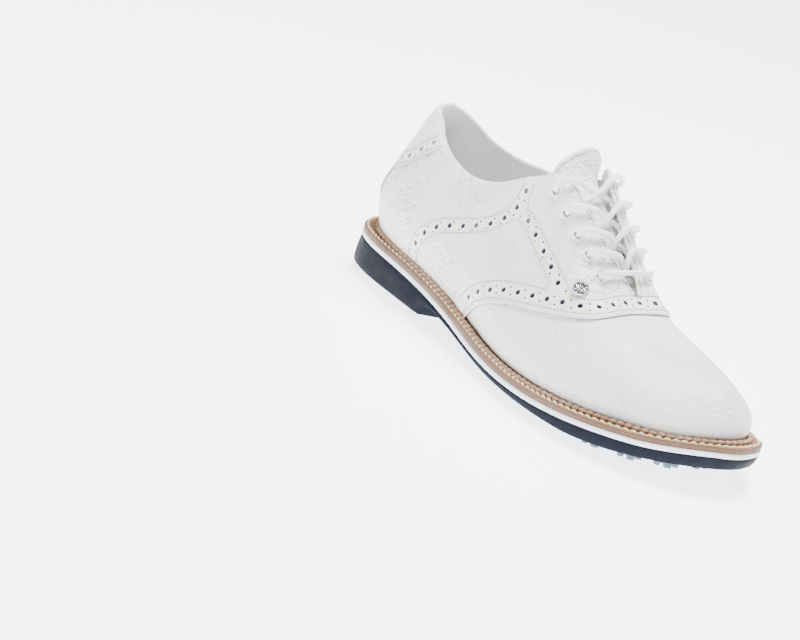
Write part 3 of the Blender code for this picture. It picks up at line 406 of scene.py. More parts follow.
# ------------------------------------------------------------------ materials
class Net:
    """Short calls for a material's node tree."""

    def __init__(self, name, colour, roughness, metallic=0.0, **sockets):
        self.material = bpy.data.materials.new(name)
        self.material.use_nodes = True
        self.tree = self.material.node_tree
        self.shader = self.tree.nodes["Principled BSDF"]
        self.set(Base_Color=(*colour, 1), Roughness=roughness, Metallic=metallic, **sockets)
        self.object = self.add("TexCoord").outputs["Object"]

    def set(self, **sockets):
        for name, value in sockets.items():
            self.join(self.shader.inputs[name.replace("_", " ")], value)

    def join(self, socket, value):
        if isinstance(value, bpy.types.NodeSocket):
            self.tree.links.new(value, socket)
        else:
            socket.default_value = value

    def add(self, kind, inputs=None, **settings):
        node = self.tree.nodes.new("ShaderNode" + kind)
        for key, value in settings.items():
            setattr(node, key, value)
        for key, value in (inputs or {}).items():
            self.join(node.inputs[key], value)
        return node

    def stretched(self, scale, turn=(0, 0, 0), base=None):
        return self.add("Mapping", {"Vector": base or self.object, "Scale": scale,
                                    "Rotation": turn}).outputs[0]

    def noise(self, scale, detail=3.0, vector=None, **inputs):
        return self.add("TexNoise", {"Vector": vector or self.object, "Scale": scale,
                                     "Detail": detail, **inputs}).outputs["Fac"]

    def cells(self, scale, vector=None, feature="F1", **inputs):
        return self.add("TexVoronoi", {"Vector": vector or self.object, "Scale": scale, **inputs},
                        feature=feature).outputs["Distance"]

    def math(self, operation, a, b=0.0, clamp=False):
        return self.add("Math", {0: a, 1: b}, operation=operation, use_clamp=clamp).outputs[0]

    def ramp(self, value, low, high, to_low=0.0, to_high=1.0):
        return self.add("MapRange", {"Value": value, "From Min": low, "From Max": high,
                                     "To Min": to_low, "To Max": to_high}).outputs[0]

    def tint(self, factor, a, b):
        node = self.add("Mix", data_type="RGBA")
        self.join(node.inputs[0], factor)
        for socket, colour in ((node.inputs[6], a), (node.inputs[7], b)):
            self.join(socket, colour if isinstance(colour, bpy.types.NodeSocket)
                      else (*colour, 1))
        return node.outputs[2]

    def bump(self, height, depth, strength=1.0, normal=None):
        """Relief of `depth` mm where height goes from 0 to 1."""
        inputs = {"Height": height, "Strength": strength, "Distance": depth * MM}
        if normal:
            inputs["Normal"] = normal
        return self.add("Bump", inputs).outputs[0]

    def attribute(self, name):
        return self.add("Attribute", attribute_name=name).outputs["Fac"]


# `deep` is the colour of the painted shade in the grain furrows, the creases and the seams.
def leather(name, colour, grain=1.0, creases=0.0, deep=(0.40, 0.39, 0.36)):
    """Pebbled full-grain leather, with painted shade in its grain furrows, creases and seams. A
    mesh's `seam` and `smooth` say where it is drawn flat.
    """
    n = Net(name, colour, 0.5, Coat_Weight=0.08, Coat_Roughness=0.35)
    seam, smooth = n.attribute("seam"), n.attribute("smooth")
    warp = n.add("TexNoise", {"Vector": n.object, "Scale": 160.0, "Detail": 2.0}).outputs["Color"]
    bent = n.add("VectorMath", {0: warp, 1: (0.004, 0.004, 0.004)}, operation="MULTIPLY").outputs[0]
    at = n.add("VectorMath", {0: n.object, 1: bent}, operation="ADD").outputs[0]
    pebble = n.cells(430.0, at, "SMOOTH_F1", Smoothness=0.35)
    small = n.cells(900.0, at, "SMOOTH_F1", Smoothness=0.3)
    patch = n.ramp(n.noise(34.0, 2.0), 0.35, 0.65, 0.35, 1.0)
    hide = n.math("ADD", n.math("MULTIPLY", pebble, 0.75), n.math("MULTIPLY", small, 0.25))
    # The furrows between the pebbles, which the colour darkens as painted shade.
    furrow_shade = n.math("MULTIPLY", n.ramp(hide, 0.40, 0.62), patch)
    hide = n.math("MULTIPLY", n.ramp(hide, 0.12, 0.62, 1.0, 0.0), patch)
    flat = n.math("SUBTRACT", 1.0, n.math("MAXIMUM", n.math("MULTIPLY", smooth, 0.75),
                                          n.math("MULTIPLY", seam, 0.5)))
    height = n.math("MULTIPLY", hide, flat)
    normal = n.bump(height, 0.80 * grain, 1.0)
    if creases:
        way = n.stretched((300, 90, 230), (0.2, 0.75, 0.35), at)
        fold = n.math("POWER", n.ramp(n.noise(1.0, 2.5, way), 0.38, 0.66), 1.6)
        where = n.ramp(n.noise(16.0, 1.0), 0.40, 0.62)
        normal = n.bump(n.math("MULTIPLY", n.math("MULTIPLY", fold, where), flat),
                        1.1 * creases, 1.0, normal)
    normal = n.bump(n.noise(2600.0, 2.0), 0.02, 0.5, normal)
    normal = n.bump(n.noise(9.0, 2.0), 0.9, 0.12, normal)
    # Painted shade: the colour darkens in the grain furrows, and in the creases below.
    low = n.math("MULTIPLY", furrow_shade, n.math("MULTIPLY", flat, 0.16 * grain))
    # Painted shade in the creases too, beside their bump.
    if creases:
        low = n.math("MAXIMUM", low, n.math("MULTIPLY", n.math("MULTIPLY", fold, where), 0.08))
    tone = n.tint(n.math("ADD", low, n.math("MULTIPLY", n.noise(12.0, 3.0), 0.10)), colour, deep)
    # Painted shade along the seams, where the leather is drawn in round the stitches.
    tone = n.tint(n.math("MULTIPLY", seam, 0.30), tone, deep)
    n.set(Base_Color=tone, Normal=normal,
          Roughness=n.ramp(n.noise(70.0, 3.0), 0.3, 0.7, 0.44, 0.58))
    return n.material


def rubber(name, colour, roughness, second, grain=0.03, **sockets):
    """Moulded rubber: a fine spark-eroded skin, faint mottling and dusty scuffs."""
    n = Net(name, colour, roughness, **sockets)
    dust = n.ramp(n.noise(95.0, 5.0, n.stretched((1, 1, 2.4))), 0.52, 0.80)
    tone = n.tint(n.math("MULTIPLY", dust, 0.5), colour, second)
    normal = n.bump(n.noise(1500.0, 3.0), grain, 0.6)
    n.set(Base_Color=tone, Normal=n.bump(n.noise(40.0, 2.0), 0.12, 0.25, normal),
          Roughness=n.ramp(n.noise(130.0, 4.0), 0.3, 0.7, roughness - 0.06, roughness + 0.10))
    return n.material


def clear_rubber(name, colour, deep, cloud, transmission):
    """Translucent thermoplastic, a little cloudy, with flow lines and a soft gloss."""
    n = Net(name, colour, 0.22, Transmission_Weight=transmission, IOR=1.48, Coat_Weight=0.25,
            Coat_Roughness=0.12)
    flow = n.noise(22.0, 4.0, n.stretched((1, 1.8, 1), (0, 0, 0.5)), Distortion=0.6)
    haze = n.noise(160.0, 3.0)
    tone = n.tint(n.ramp(flow, 0.32, 0.70), deep, colour)
    tone = n.tint(n.math("MULTIPLY", n.ramp(haze, 0.50, 0.75), 0.35), tone, cloud)
    normal = n.bump(n.noise(260.0, 3.0), 0.05, 0.5)
    n.set(Base_Color=tone, Normal=n.bump(n.noise(30.0, 2.0), 0.3, 0.2, normal),
          Roughness=n.ramp(haze, 0.3, 0.7, 0.16, 0.34))
    return n.material


def metal(name, colour, roughness, scratch=0.015):
    """Polished metal with hairline scratches and smudges."""
    n = Net(name, colour, roughness, 1.0)
    lines = n.noise(1.0, 2.0, n.stretched((260, 3400, 900), (0.3, 0.2, 0.7)))
    smudge = n.noise(240.0, 3.0)
    n.set(Normal=n.bump(lines, scratch, 0.5),
          Roughness=n.ramp(smudge, 0.3, 0.75, roughness - 0.06, roughness + 0.16),
          Base_Color=n.tint(n.ramp(smudge, 0.45, 0.8, 0.0, 0.35), colour,
                            tuple(c * 0.72 for c in colour)))
    return n.material


def thread(name, colour, shade):
    """Twisted sewing thread."""
    n = Net(name, colour, 0.75, Sheen_Weight=0.15)
    twist = n.add("TexWave", {"Vector": n.object, "Scale": 900.0, "Distortion": 1.5,
                              "Detail": 1.0}, bands_direction="DIAGONAL").outputs["Fac"]
    n.set(Base_Color=n.tint(n.math("MULTIPLY", twist, 0.5), colour, shade),
          Normal=n.bump(twist, 0.05, 0.6))
    return n.material


def woven(name, colour, shade, pitch, depth=0.12):
    """A ribbed mesh over the mesh's UV map, which is in mm."""
    n = Net(name, colour, 0.9, Sheen_Weight=0.25, Sheen_Roughness=0.5)
    uv = n.add("UVMap", uv_map="UVMap").outputs[0]
    part = n.add("SeparateXYZ", {0: uv}).outputs
    turn = 2 * math.pi / pitch
    rib = n.math("SINE", n.math("MULTIPLY", part[0], turn))
    row = n.math("SINE", n.math("MULTIPLY", part[1], turn))
    knit = n.ramp(n.math("MULTIPLY", rib, row), -1.0, 1.0)
    fuzz = n.noise(1900.0, 3.0)
    tone = n.tint(n.ramp(knit, 0.25, 0.75), shade, colour)
    tone = n.tint(n.math("MULTIPLY", fuzz, 0.3), tone, shade)
    normal = n.bump(fuzz, 0.05, 0.5, n.bump(knit, depth, 0.9))
    n.set(Base_Color=tone, Normal=normal)
    return n.material


def cord_weave(name, colour, shade):
    """A braided round cord: two sets of strands that cross over its UV map, in mm."""
    n = Net(name, colour, 0.72, Sheen_Weight=0.3, Sheen_Roughness=0.4)
    uv = n.add("UVMap", uv_map="UVMap").outputs[0]
    part = n.add("SeparateXYZ", {0: uv}).outputs
    one = n.math("SINE", n.math("MULTIPLY", n.math("ADD", part[0], part[1]), 4.6))
    two = n.math("SINE", n.math("MULTIPLY", n.math("SUBTRACT", part[0], part[1]), 4.6))
    braid = n.ramp(n.math("MULTIPLY", one, two), -1.0, 1.0)
    fuzz = n.noise(2400.0, 2.0)
    n.set(Base_Color=n.tint(n.ramp(braid, 0.0, 0.45, 0.55, 0.0), colour, shade),
          Normal=n.bump(fuzz, 0.03, 0.5, n.bump(braid, 0.10, 0.7)))
    return n.material


def layered_welt(name, colour, shade, scale=1.0):
    """Tanned welt strip: fibres along it, and painted shade in the low places that a mesh's `groove`
    marks.
    """
    n = Net(name, colour, 0.6, Coat_Weight=0.05)
    fibre = n.noise(420.0 * scale, 4.0, n.stretched((1, 1, 3.5)))
    patch = n.noise(45.0, 3.0)
    tone = n.tint(n.ramp(fibre, 0.35, 0.70, 0.6, 0.0), colour, shade)
    # Painted shade between the bead's ridges, where `groove` is high.
    tone = n.tint(n.ramp(n.attribute("groove"), 0.15, 0.8, 0.0, 0.9), tone, shade)
    n.set(Base_Color=n.tint(n.ramp(patch, 0.4, 0.8, 0.0, 0.45), tone, shade),
          Normal=n.bump(fibre, 0.06, 0.6), Roughness=n.ramp(patch, 0.3, 0.7, 0.5, 0.7))
    return n.material


def foam(name, colour, shade, scale=900.0):
    n = Net(name, colour, 0.95)
    cell = n.cells(scale)
    n.set(Base_Color=n.tint(n.ramp(cell, 0.0, 0.5, 0.6, 0.0), colour, shade),
          Normal=n.bump(cell, 0.12, 0.6))
    return n.material


def cork_board(name, colour, shade, scale):
    n = Net(name, colour, 0.85)
    crumb = n.add("TexVoronoi", {"Vector": n.object, "Scale": scale}).outputs["Color"]
    grey = n.add("SeparateXYZ", {0: crumb}).outputs[0]
    n.set(Base_Color=n.tint(grey, colour, shade), Normal=n.bump(n.noise(scale * 2.0), 0.08, 0.6))
    return n.material


WHITE = (0.88, 0.875, 0.83)
MATERIALS = {
    "vamp": leather("leather_vamp", WHITE, 0.85),
    "saddle": leather("leather_saddle", WHITE, 1.15, 1.0),
    "tab": leather("leather_tab", WHITE, 1.0, 0.5),
    "tongue": leather("leather_tongue", WHITE, 1.1),
    "rim": leather("leather_rim", (0.80, 0.80, 0.78), 0.35),
    "edge": leather("painted_edge", (0.20, 0.23, 0.31), 0.2, deep=(0.14, 0.17, 0.23)),
    # The dark hole colour: painted shade for the floors and walls of the punched holes and the
    # eyelets' bores.
    "pit": foam("hole_painted_shade", (0.30, 0.32, 0.35), (0.14, 0.15, 0.17), 700.0),
    "lining": woven("lining_mesh", (0.92, 0.93, 0.95), (0.66, 0.67, 0.70), 2.2, 0.22),
    "sock": woven("sock_top", (0.60, 0.61, 0.63), (0.44, 0.45, 0.47), 1.1),
    "lace": cord_weave("lace_braid", (0.95, 0.95, 0.95), (0.74, 0.74, 0.75)),
    # The upper's white thread is drawn dark grey: painted shade of the stitches sunk in the leather.
    "stitch": thread("thread_with_painted_shade", (0.22, 0.225, 0.24), (0.10, 0.105, 0.12)),
    "welt_stitch": thread("cream_thread", (0.80, 0.66, 0.47), (0.50, 0.34, 0.19)),
    "eyelet": rubber("eyelet_enamel", (0.84, 0.85, 0.88), 0.28, (0.70, 0.72, 0.78), 0.01,
                     Coat_Weight=0.4, Coat_Roughness=0.1),
    "eyelet_edge": rubber("eyelet_edge", (0.50, 0.62, 0.85), 0.28, (0.40, 0.50, 0.72), 0.01,
                          Coat_Weight=0.4, Coat_Roughness=0.1),
    "silver": metal("silver", (0.72, 0.70, 0.68), 0.22),
    "silver_dark": metal("silver_recess", (0.06, 0.055, 0.055), 0.45),
    "steel": metal("shank_steel", (0.50, 0.51, 0.53), 0.35, 0.03),
    "welt": layered_welt("welt_tan", (0.27, 0.145, 0.07), (0.11, 0.05, 0.022)),
    "bead": layered_welt("welt_bead", (0.55, 0.34, 0.20), (0.12, 0.055, 0.025)),
    "pocket": rubber("pocket_blue", (0.02, 0.20, 0.33), 0.5, (0.04, 0.26, 0.40)),
    "pocket_heel": rubber("pocket_grey", (0.16, 0.21, 0.26), 0.5, (0.22, 0.27, 0.32)),
    "welt_edge": layered_welt("welt_edge", (0.15, 0.075, 0.034), (0.07, 0.033, 0.015), 1.6),
    "welt_line": layered_welt("welt_line", (0.30, 0.16, 0.075), (0.14, 0.065, 0.028), 1.6),
    "strip": rubber("strip_rubber", (0.80, 0.80, 0.90), 0.42, (0.68, 0.68, 0.80)),
    "navy": rubber("navy_rubber", (0.0055, 0.0075, 0.0145), 0.6, (0.009, 0.012, 0.021), 0.05,
                   Specular_IOR_Level=0.08),
    "blue": clear_rubber("blue_rubber", (0.03, 0.33, 0.50), (0.01, 0.18, 0.31),
                         (0.22, 0.52, 0.64), 0.10),
    "clear": clear_rubber("clear_rubber", (0.50, 0.60, 0.66), (0.34, 0.43, 0.49),
                          (0.74, 0.80, 0.84), 0.30),
    "nub": clear_rubber("nub_rubber", (0.15, 0.24, 0.29), (0.06, 0.12, 0.16),
                        (0.34, 0.44, 0.48), 0.30),
    "white": rubber("white_inlay", (0.78, 0.78, 0.76), 0.4, (0.62, 0.62, 0.60)),
    "foam": foam("padding_foam", (0.70, 0.69, 0.62), (0.45, 0.44, 0.38)),
    "board": cork_board("insole_fibre", (0.46, 0.36, 0.24), (0.33, 0.25, 0.16), 900.0),
    "cork": cork_board("pressed_cork", (0.52, 0.35, 0.19), (0.28, 0.17, 0.08), 420.0),
    "stiffener": cork_board("stiffener_sheet", (0.68, 0.65, 0.57), (0.56, 0.53, 0.46), 1400.0),
}


# ------------------------------------------------------------------ meshes
class Mesh:
    """Vertices, faces, the material of each face, and per-point values, gathered in mm."""

    def __init__(self):
        self.points, self.faces, self.kinds, self.uv = [], [], [], []
        self.values = {}
        self.count = 0

    def add(self, points, faces, kind, uv=None, **values):
        points = np.asarray(points, float).reshape(-1, 3)
        start = self.count
        self.points.append(points)
        self.faces += [tuple(start + i for i in f) for f in faces]
        self.kinds += [kind] * len(faces)
        self.uv.append(np.zeros((len(points), 2)) if uv is None else np.asarray(uv, float))
        for key, value in values.items():
            self.values.setdefault(key, np.zeros(self.count))
        self.count += len(points)
        for key in self.values:
            new = np.broadcast_to(values.get(key, 0.0), len(points))
            self.values[key] = np.concatenate([self.values[key], new])
        return start

    def finish(self, name, nodes=(), body=BODY, slot=None, angle=40.0, weld=True):
        points = (np.concatenate(self.points) - [CENTRE[0], CENTRE[1], 0]) * MM
        mesh = bpy.data.meshes.new(name)
        mesh.from_pydata(points.tolist(), [], self.faces)
        kinds = list(dict.fromkeys(self.kinds))
        for kind in kinds:
            mesh.materials.append(MATERIALS[kind])
        mesh.polygons.foreach_set("material_index", [kinds.index(k) for k in self.kinds])
        uv = np.concatenate(self.uv)
        layer = mesh.uv_layers.new(name="UVMap")
        corners = np.zeros(len(mesh.loops), int)
        mesh.loops.foreach_get("vertex_index", corners)
        layer.data.foreach_set("uv", uv[corners].ravel())
        for key, value in self.values.items():
            mesh.attributes.new(key, "FLOAT", "POINT").data.foreach_set("value", value)
        obj = bpy.data.objects.new(name, mesh)
        bpy.context.scene.collection.objects.link(obj)
        if weld:
            bm = bmesh.new()
            bm.from_mesh(mesh)
            bmesh.ops.remove_doubles(bm, verts=bm.verts, dist=2e-6)
            bmesh.ops.recalc_face_normals(bm, faces=bm.faces)
            bm.to_mesh(mesh)
            bm.free()
        mesh.shade_smooth()
        mesh.set_sharp_from_angle(angle=math.radians(angle))
        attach(obj, body)
        if nodes:
            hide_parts(*nodes)
        return obj


def strip_faces(rows, columns, closed_rows=False, closed_columns=False, start=0):
    """Quads over a grid of rows by columns of points, each row after the other."""
    faces = []
    for i in range(rows if closed_rows else rows - 1):
        for j in range(columns if closed_columns else columns - 1):
            a, b = i * columns + j, i * columns + (j + 1) % columns
            c = ((i + 1) % rows) * columns
            faces.append((start + a, start + b, start + c + (j + 1) % columns, start + c + j))
    return faces


def sweep(points, radius, sides=14, caps=True):
    """(points, faces, uv) of a round tube along points, its frame carried without twist."""
    p = np.asarray(points, float)
    along = np.gradient(p, axis=0)
    along /= np.linalg.norm(along, axis=1, keepdims=True)
    side = np.cross(along[0], [0, 0, 1.0])
    rings = []
    length = distances(p)
    radius = np.broadcast_to(radius, len(p))
    turn = 2 * math.pi * np.arange(sides) / sides
    for i in range(len(p)):
        side = side - along[i] * (side @ along[i])
        side /= np.linalg.norm(side)
        other = np.cross(along[i], side)
        rings.append(p[i] + radius[i] * (np.outer(np.cos(turn), side)
                                         + np.outer(np.sin(turn), other)))
    faces = strip_faces(len(p), sides, closed_columns=True)
    n = len(p) * sides
    if caps:
        faces += [tuple(range(sides)), tuple(range(n - sides, n))]
    uv = np.stack([np.repeat(length, sides), np.tile(turn * radius.mean(), len(p))], 1)
    return np.concatenate(rings), faces, uv


def turned(profile, matrix, segments=48):
    """(points, faces) of a (radius, height) profile turned about the matrix's Z, in mm."""
    profile = np.asarray(profile, float)
    turn = 2 * math.pi * np.arange(segments) / segments
    ring = np.stack([np.cos(turn), np.sin(turn)], 1)
    points = np.concatenate([np.column_stack([ring * r, np.full(segments, z)])
                             for r, z in profile])
    rotation = np.array(matrix.to_3x3())
    origin = np.array(matrix.translation)
    return points @ rotation.T + origin, strip_faces(len(profile), segments,
                                                     closed_columns=True)


def frame_at(s, t, offset):
    """A matrix in mm at a place on the last, Z along the outward normal, X up the shoe."""
    origin = LAST.over(s, t, offset)[0]
    z = Vector(LAST.normal(np.array([float(s)]), np.array([float(t)]))[0])
    x = Vector(LAST.at(s, t + 0.01)[0] - LAST.at(s, t - 0.01)[0])
    y = z.cross(x).normalized()
    matrix = Matrix((y.cross(z), y, z)).transposed().to_4x4()
    matrix.translation = Vector(origin)
    return matrix


# ------------------------------------------------------------------ lines on the last
def smooth_line(points, step):
    """A dense line (s, t) through points, about `step` mm apart, its last point kept."""
    p = np.array(flat(points), float)
    u = distances(p)
    n = max(2, round(u[-1] / step))
    q = weights(u, np.linspace(0, u[-1], n + 1)) @ p
    return np.stack([q[:, 0], q[:, 1] / GIRTH], 1)


def to_flat(line):
    return np.stack([line[:, 0], line[:, 1] * GIRTH], 1)


def sideways(line, by):
    """The line moved `by` mm to its left, measured on the last's surface."""
    p = LAST.at(line[:, 0], line[:, 1])
    along = np.gradient(p, axis=0)
    normal = LAST.normal(line[:, 0], line[:, 1])
    left = np.cross(normal, along)
    left /= np.linalg.norm(left, axis=1, keepdims=True)
    ds = (LAST.at(line[:, 0] + 0.3, line[:, 1]) - LAST.at(line[:, 0] - 0.3, line[:, 1])) / 0.6
    low, high = np.maximum(line[:, 1] - 0.004, -1), np.minimum(line[:, 1] + 0.004, 1)
    dt = (LAST.at(line[:, 0], high) - LAST.at(line[:, 0], low)) / (high - low)[:, None]
    jacobian = np.stack([ds, dt], 2)
    move = np.einsum("kij,kj->ki", np.linalg.pinv(jacobian), left * np.reshape(by, (-1, 1)))
    return line + move


def near(points, line):
    """The flat distance of each point to a polyline, worked out in slices."""
    a, b = line[:-1], line[1:]
    return sliced(clearance, points, a, b)


def hole(place, radius, n):
    """A round hole on the flat pattern."""
    s, t = place
    a, b = LAST.at([s, s], [t - 0.02, t + 0.02])
    c, d = LAST.at([s - 1, s + 1], [t, t])
    stretch = np.linalg.qr(np.stack([(d - c) / 2, (b - a) / (0.04 * GIRTH)], 1))[1]
    turn = 2 * math.pi * (np.arange(n) + 0.5) / n
    ring = np.linalg.solve(stretch, radius * np.stack([np.cos(turn), np.sin(turn)]))
    return np.array([s, t * GIRTH]) + ring.T


def anticlockwise(runs):
    loop = np.concatenate(runs)
    x, y = loop.T
    return loop if (x * np.roll(y, -1) - y * np.roll(x, -1)).sum() > 0 else loop[::-1]


def pattern(*stretches):
    """A closed outline in mm from stretches, each its (s, t) points and the step along it."""
    return anticlockwise([run(flat(points), step) for points, step in stretches])


def panel(mesh, kind, outline, outer, thick, through=(), blind=(), seams=(), smooth=(),
          step=3.0, edge=0.45, edge_kind=None, wide=5.0, open_at=None, spread=0):
    """A leather pattern piece: rolled at its edge, drawn in along its seams.

    `outer` is a height or a function of (s, t). Blind holes end in a dark floor, and the small ones
    have dark walls: painted shade in the holes. Seams and smooth bands are (s, t) lines. The piece
    meets itself at s = open_at.
    """
    height_of = outer if callable(outer) else lambda s, t: np.full(len(s), float(outer))
    closed = np.concatenate([outline, outline[:1]])
    ends = np.stack([closed[:-1, 0], closed[1:, 0]], 1)
    real = np.ones(len(ends), bool) if open_at is None else ends.min(1) < open_at - 0.01
    rim_a, rim_b = closed[:-1][real], closed[1:][real]
    extra = [np.zeros((0, 2))] + [inset(outline, by) for by in (0.6, 1.3) if edge]
    for seam in seams:
        extra += [to_flat(seam), to_flat(sideways(seam, 0.8)), to_flat(sideways(seam, -0.8))]
    holes = [*through, *blind]
    for h in holes:
        extra.append(h.mean(0) + (h - h.mean(0)) * 1.5)
    extra = thinned(np.concatenate(extra), 0.7)
    points, faces = fill(outline, holes, step, extra=extra)
    s, t = points[:, 0], points[:, 1] / GIRTH
    height = height_of(s, t)
    if edge:
        rim = sliced(clearance, points, rim_a, rim_b)
        height = height - edge * np.clip(1 - rim / 1.3, 0, 1) ** 2
    drawn, band = np.zeros(len(points)), np.zeros(len(points))
    for seam in seams:
        drawn = np.maximum(drawn, np.exp(-(near(points, to_flat(seam)) / 0.75) ** 2))
    for line in smooth:
        band = np.maximum(band, np.clip((wide - near(points, to_flat(line))) / 1.2 + 0.5, 0, 1))
    tree = kdtree.KDTree(len(points))
    for i, p in enumerate(points):
        tree.insert((p[0], p[1], 0), i)
    tree.balance()
    loops = [[tree.find((x, y, 0))[1] for x, y in h] for h in blind]
    for h in loops:
        height[h] -= 0.22
    height = height - 0.22 * drawn
    start = mesh.add(LAST.over(s, t, height, spread), faces, kind, points, seam=drawn,
                     smooth=band)
    back = mesh.add(LAST.over(s, t, height - thick, spread), [f[::-1] for f in faces], kind,
                    points, seam=drawn, smooth=band)
    # Hole floors, and the small holes' walls, take the dark hole colour as painted shade.
    pit = {}
    for h in loops:
        mesh.faces.append(tuple(back + i for i in h))
        mesh.kinds.append("pit")
        pit.update(dict.fromkeys(h, "pit" if len(h) < 8 else "edge"))
    directed = {(f[i], f[(i + 1) % 3]) for f in faces for i in range(3)}
    for a, b in directed:
        if (b, a) in directed or (open_at and min(s[a], s[b]) > open_at - 0.01):
            continue
        wall = pit.get(a) or (edge_kind(s[a], t[a]) if edge_kind else kind)
        mesh.faces.append((start + b, start + a, back + a, back + b))
        mesh.kinds.append(wall)
    return points


def thinned(points, apart):
    """The points with those dropped that fall in a cell already taken."""
    cell = np.round(points / apart).astype(int)
    return points[np.unique(cell, axis=0, return_index=True)[1]]


def stitches(mesh, line, height, pitch=2.0, kind="stitch", radius=0.24, share=0.62, spread=0):
    """Short arched stitches along an (s, t) line, `height` over the last."""
    height_of = height if callable(height) else lambda s, t: height
    u = along_line(line)
    n = max(1, round(u[-1] / pitch))
    rise = np.array([-0.35, 0.02, 0.14, 0.14, 0.02, -0.35])
    thick = np.array([0.6, 0.95, 1.0, 1.0, 0.95, 0.6]) * radius
    step = u[-1] / n
    for k in range(n):
        at = (k + 0.5) * step + np.linspace(-0.5, 0.5, 6) * step * share
        s, t = np.interp(at, u, line[:, 0]), np.interp(at, u, line[:, 1])
        tube, faces, uv = sweep(LAST.over(s, t, height_of(s, t) + rise, spread), thick, 6)
        mesh.add(tube, faces, kind, uv)


# ------------------------------------------------------------------ upper
collar_knots = np.array([(-s, -t) for s, t in COLLAR_MEDIAL[:0:-1]] + COLLAR, float).T
HIGH = 1.7 * GIRTH  # mm over the ankle for one unit of t


def collar_t(s):
    """The collar's edge as t, for a negative s the medial one as a wrapping piece has it."""
    return weights(collar_knots[0], np.clip(s, collar_knots[0, 0], collar_knots[0, -1])) @ (
        collar_knots[1])


def below_collar(places, by, side=1):
    """Pattern points `by` in t below the collar's edge, at -s on the medial side."""
    return [(side * s, float(collar_t([side * s])[0]) - by) for s in places]


def under_edge(s, t):
    """How far a point lies below the collar's edge, in mm over the last."""
    return (collar_t(np.where(t > 0, -s, s)) + np.abs(t)) * HIGH


def drop(s, t):
    """The leather's roll into the collar."""
    near_edge = np.clip((6 - under_edge(s, t)) / 6, 0, 1)
    return 2.9 * (1 - np.sqrt(1 - near_edge ** 2)) * np.clip((152 - np.abs(s)) / 10, 0, 1)


def ease(x):
    """0 to 1 with a soft start and end."""
    x = np.clip(x, 0, 1)
    return x * x * (3 - 2 * x)


def behind(points):
    """Lateral pattern points on the medial side, as a piece that wraps the heel has them."""
    return [(-s, t) for s, t in points]


def mirrored(line):
    return line * [1, -1]


def clipped(line, *bands, apart=4.4):
    """The runs of a line that keep clear of other lines."""
    keep = np.abs(line[:, 1]) < 0.985
    for band in bands:
        keep &= near(to_flat(line), to_flat(band)) > apart
    cuts = np.flatnonzero(np.diff(keep.astype(int))) + 1
    return [part for part in np.split(line, cuts)
            if len(part) > 3 and keep[np.argmin(np.abs(line - part[1]).sum(1))]]


def along_line(line):
    """The distance from a line's start to each of its points, in mm over the last."""
    return distances(LAST.at(line[:, 0], line[:, 1]))


def stations(line, places):
    """(s, t) at distances along a line, in mm over the last."""
    u = along_line(line)
    places = places[(places > 0) & (places < u[-1])]
    return between(places, u, line)


def length_of(line):
    return along_line(line)[-1]


BIG, SMALL = 1.5, 0.68  # radii of the punched holes
BAND = 4.0  # from the middle of a punched band to its stitches
PITCH = 9.9  # from one large hole to the next
PAIR = 2.1  # from the middle of a band to each small hole of a pair
HOLE_LIMIT = -0.965 * GIRTH  # no hole lies nearer the feather than this
SADDLE_OUT = 0.8  # the saddle's face, over the last
LEATHER = 1.3  # its thickness
THREAD_SUNK = 0.16  # how far a stitch's middle lies in the leather


def punched(line, bigs, pairs):
    """Holes of a brogued band: single large ones, and pairs of small ones across it."""
    holes = [hole(p, BIG, 12) for p in stations(line, bigs)]
    for by in (-PAIR, PAIR):
        holes += [hole(p, SMALL, 6) for p in stations(sideways(line, by), pairs)]
    return holes


band_facing = smooth_line([(141.6, -.378), (142.8, -.41), (146, -.436), (154, -.431),
                           (164.5, -.420), (175.5, -.409), (186, -.398), (203, -.389)], 1.5)
band_heel = smooth_line([(141.8, -.378), (142.1, -.43), (137, -.503), (128.6, -.568),
                         (119.5, -.622), (110.6, -.664), (100.3, -.706), (91.3, -.748),
                         (84, -.808), (79.2, -.893), (77.5, -.96)], 1.5)
front_line = smooth_line(FRONT_LATERAL[::-1] + FRONT_MEDIAL, 1.5)
band_front = sideways(front_line, 7.4)
facing_line = smooth_line(FACING_LATERAL + [(219.6, 0.051)] + FACING_MEDIAL[::-1], 1.5)

long = length_of(band_heel)
heel_bigs = np.arange(4.5, long - 2, PITCH)
heel_holes = punched(band_heel, heel_bigs, heel_bigs + PITCH / 2)
facing_bigs = np.interp([154.2, 164.3, 175.3, 185.8, 196], band_facing[:, 0], along_line(
    band_facing))
facing_holes = punched(band_facing, facing_bigs, np.append(facing_bigs[0] - 4.4,
                                                           facing_bigs + PITCH / 2))
long = length_of(band_front)
count = int((long - 10) / PITCH)
front_bigs = long / 2 + PITCH * (np.arange(count) - (count - 1) / 2)
front_holes = [h for h in punched(band_front, front_bigs, front_bigs[:-1] + PITCH / 2)
               if np.abs(h[:, 1]).max() < -HOLE_LIMIT]
side_holes = [h for h in heel_holes + facing_holes
              if h[:, 1].min() > HOLE_LIMIT
              and min(np.linalg.norm(h.mean(0) - f.mean(0)) for f in front_holes) > 2.6]
punches = side_holes + [h * [1, -1] for h in side_holes] + front_holes

side_rows = [
    *clipped(sideways(band_facing, BAND), band_front),
    *clipped(sideways(band_facing, -BAND), band_front, band_heel),
    *clipped(sideways(band_heel, -BAND)),
    *clipped(sideways(band_heel, BAND), band_facing),
]
front_rows = [*clipped(sideways(front_line, 2.9)),
              *clipped(sideways(front_line, 11.6), band_facing, mirrored(band_facing))]
facing_row = sideways(facing_line, -1.8)
rows = side_rows + [mirrored(r) for r in side_rows] + front_rows + [facing_row]

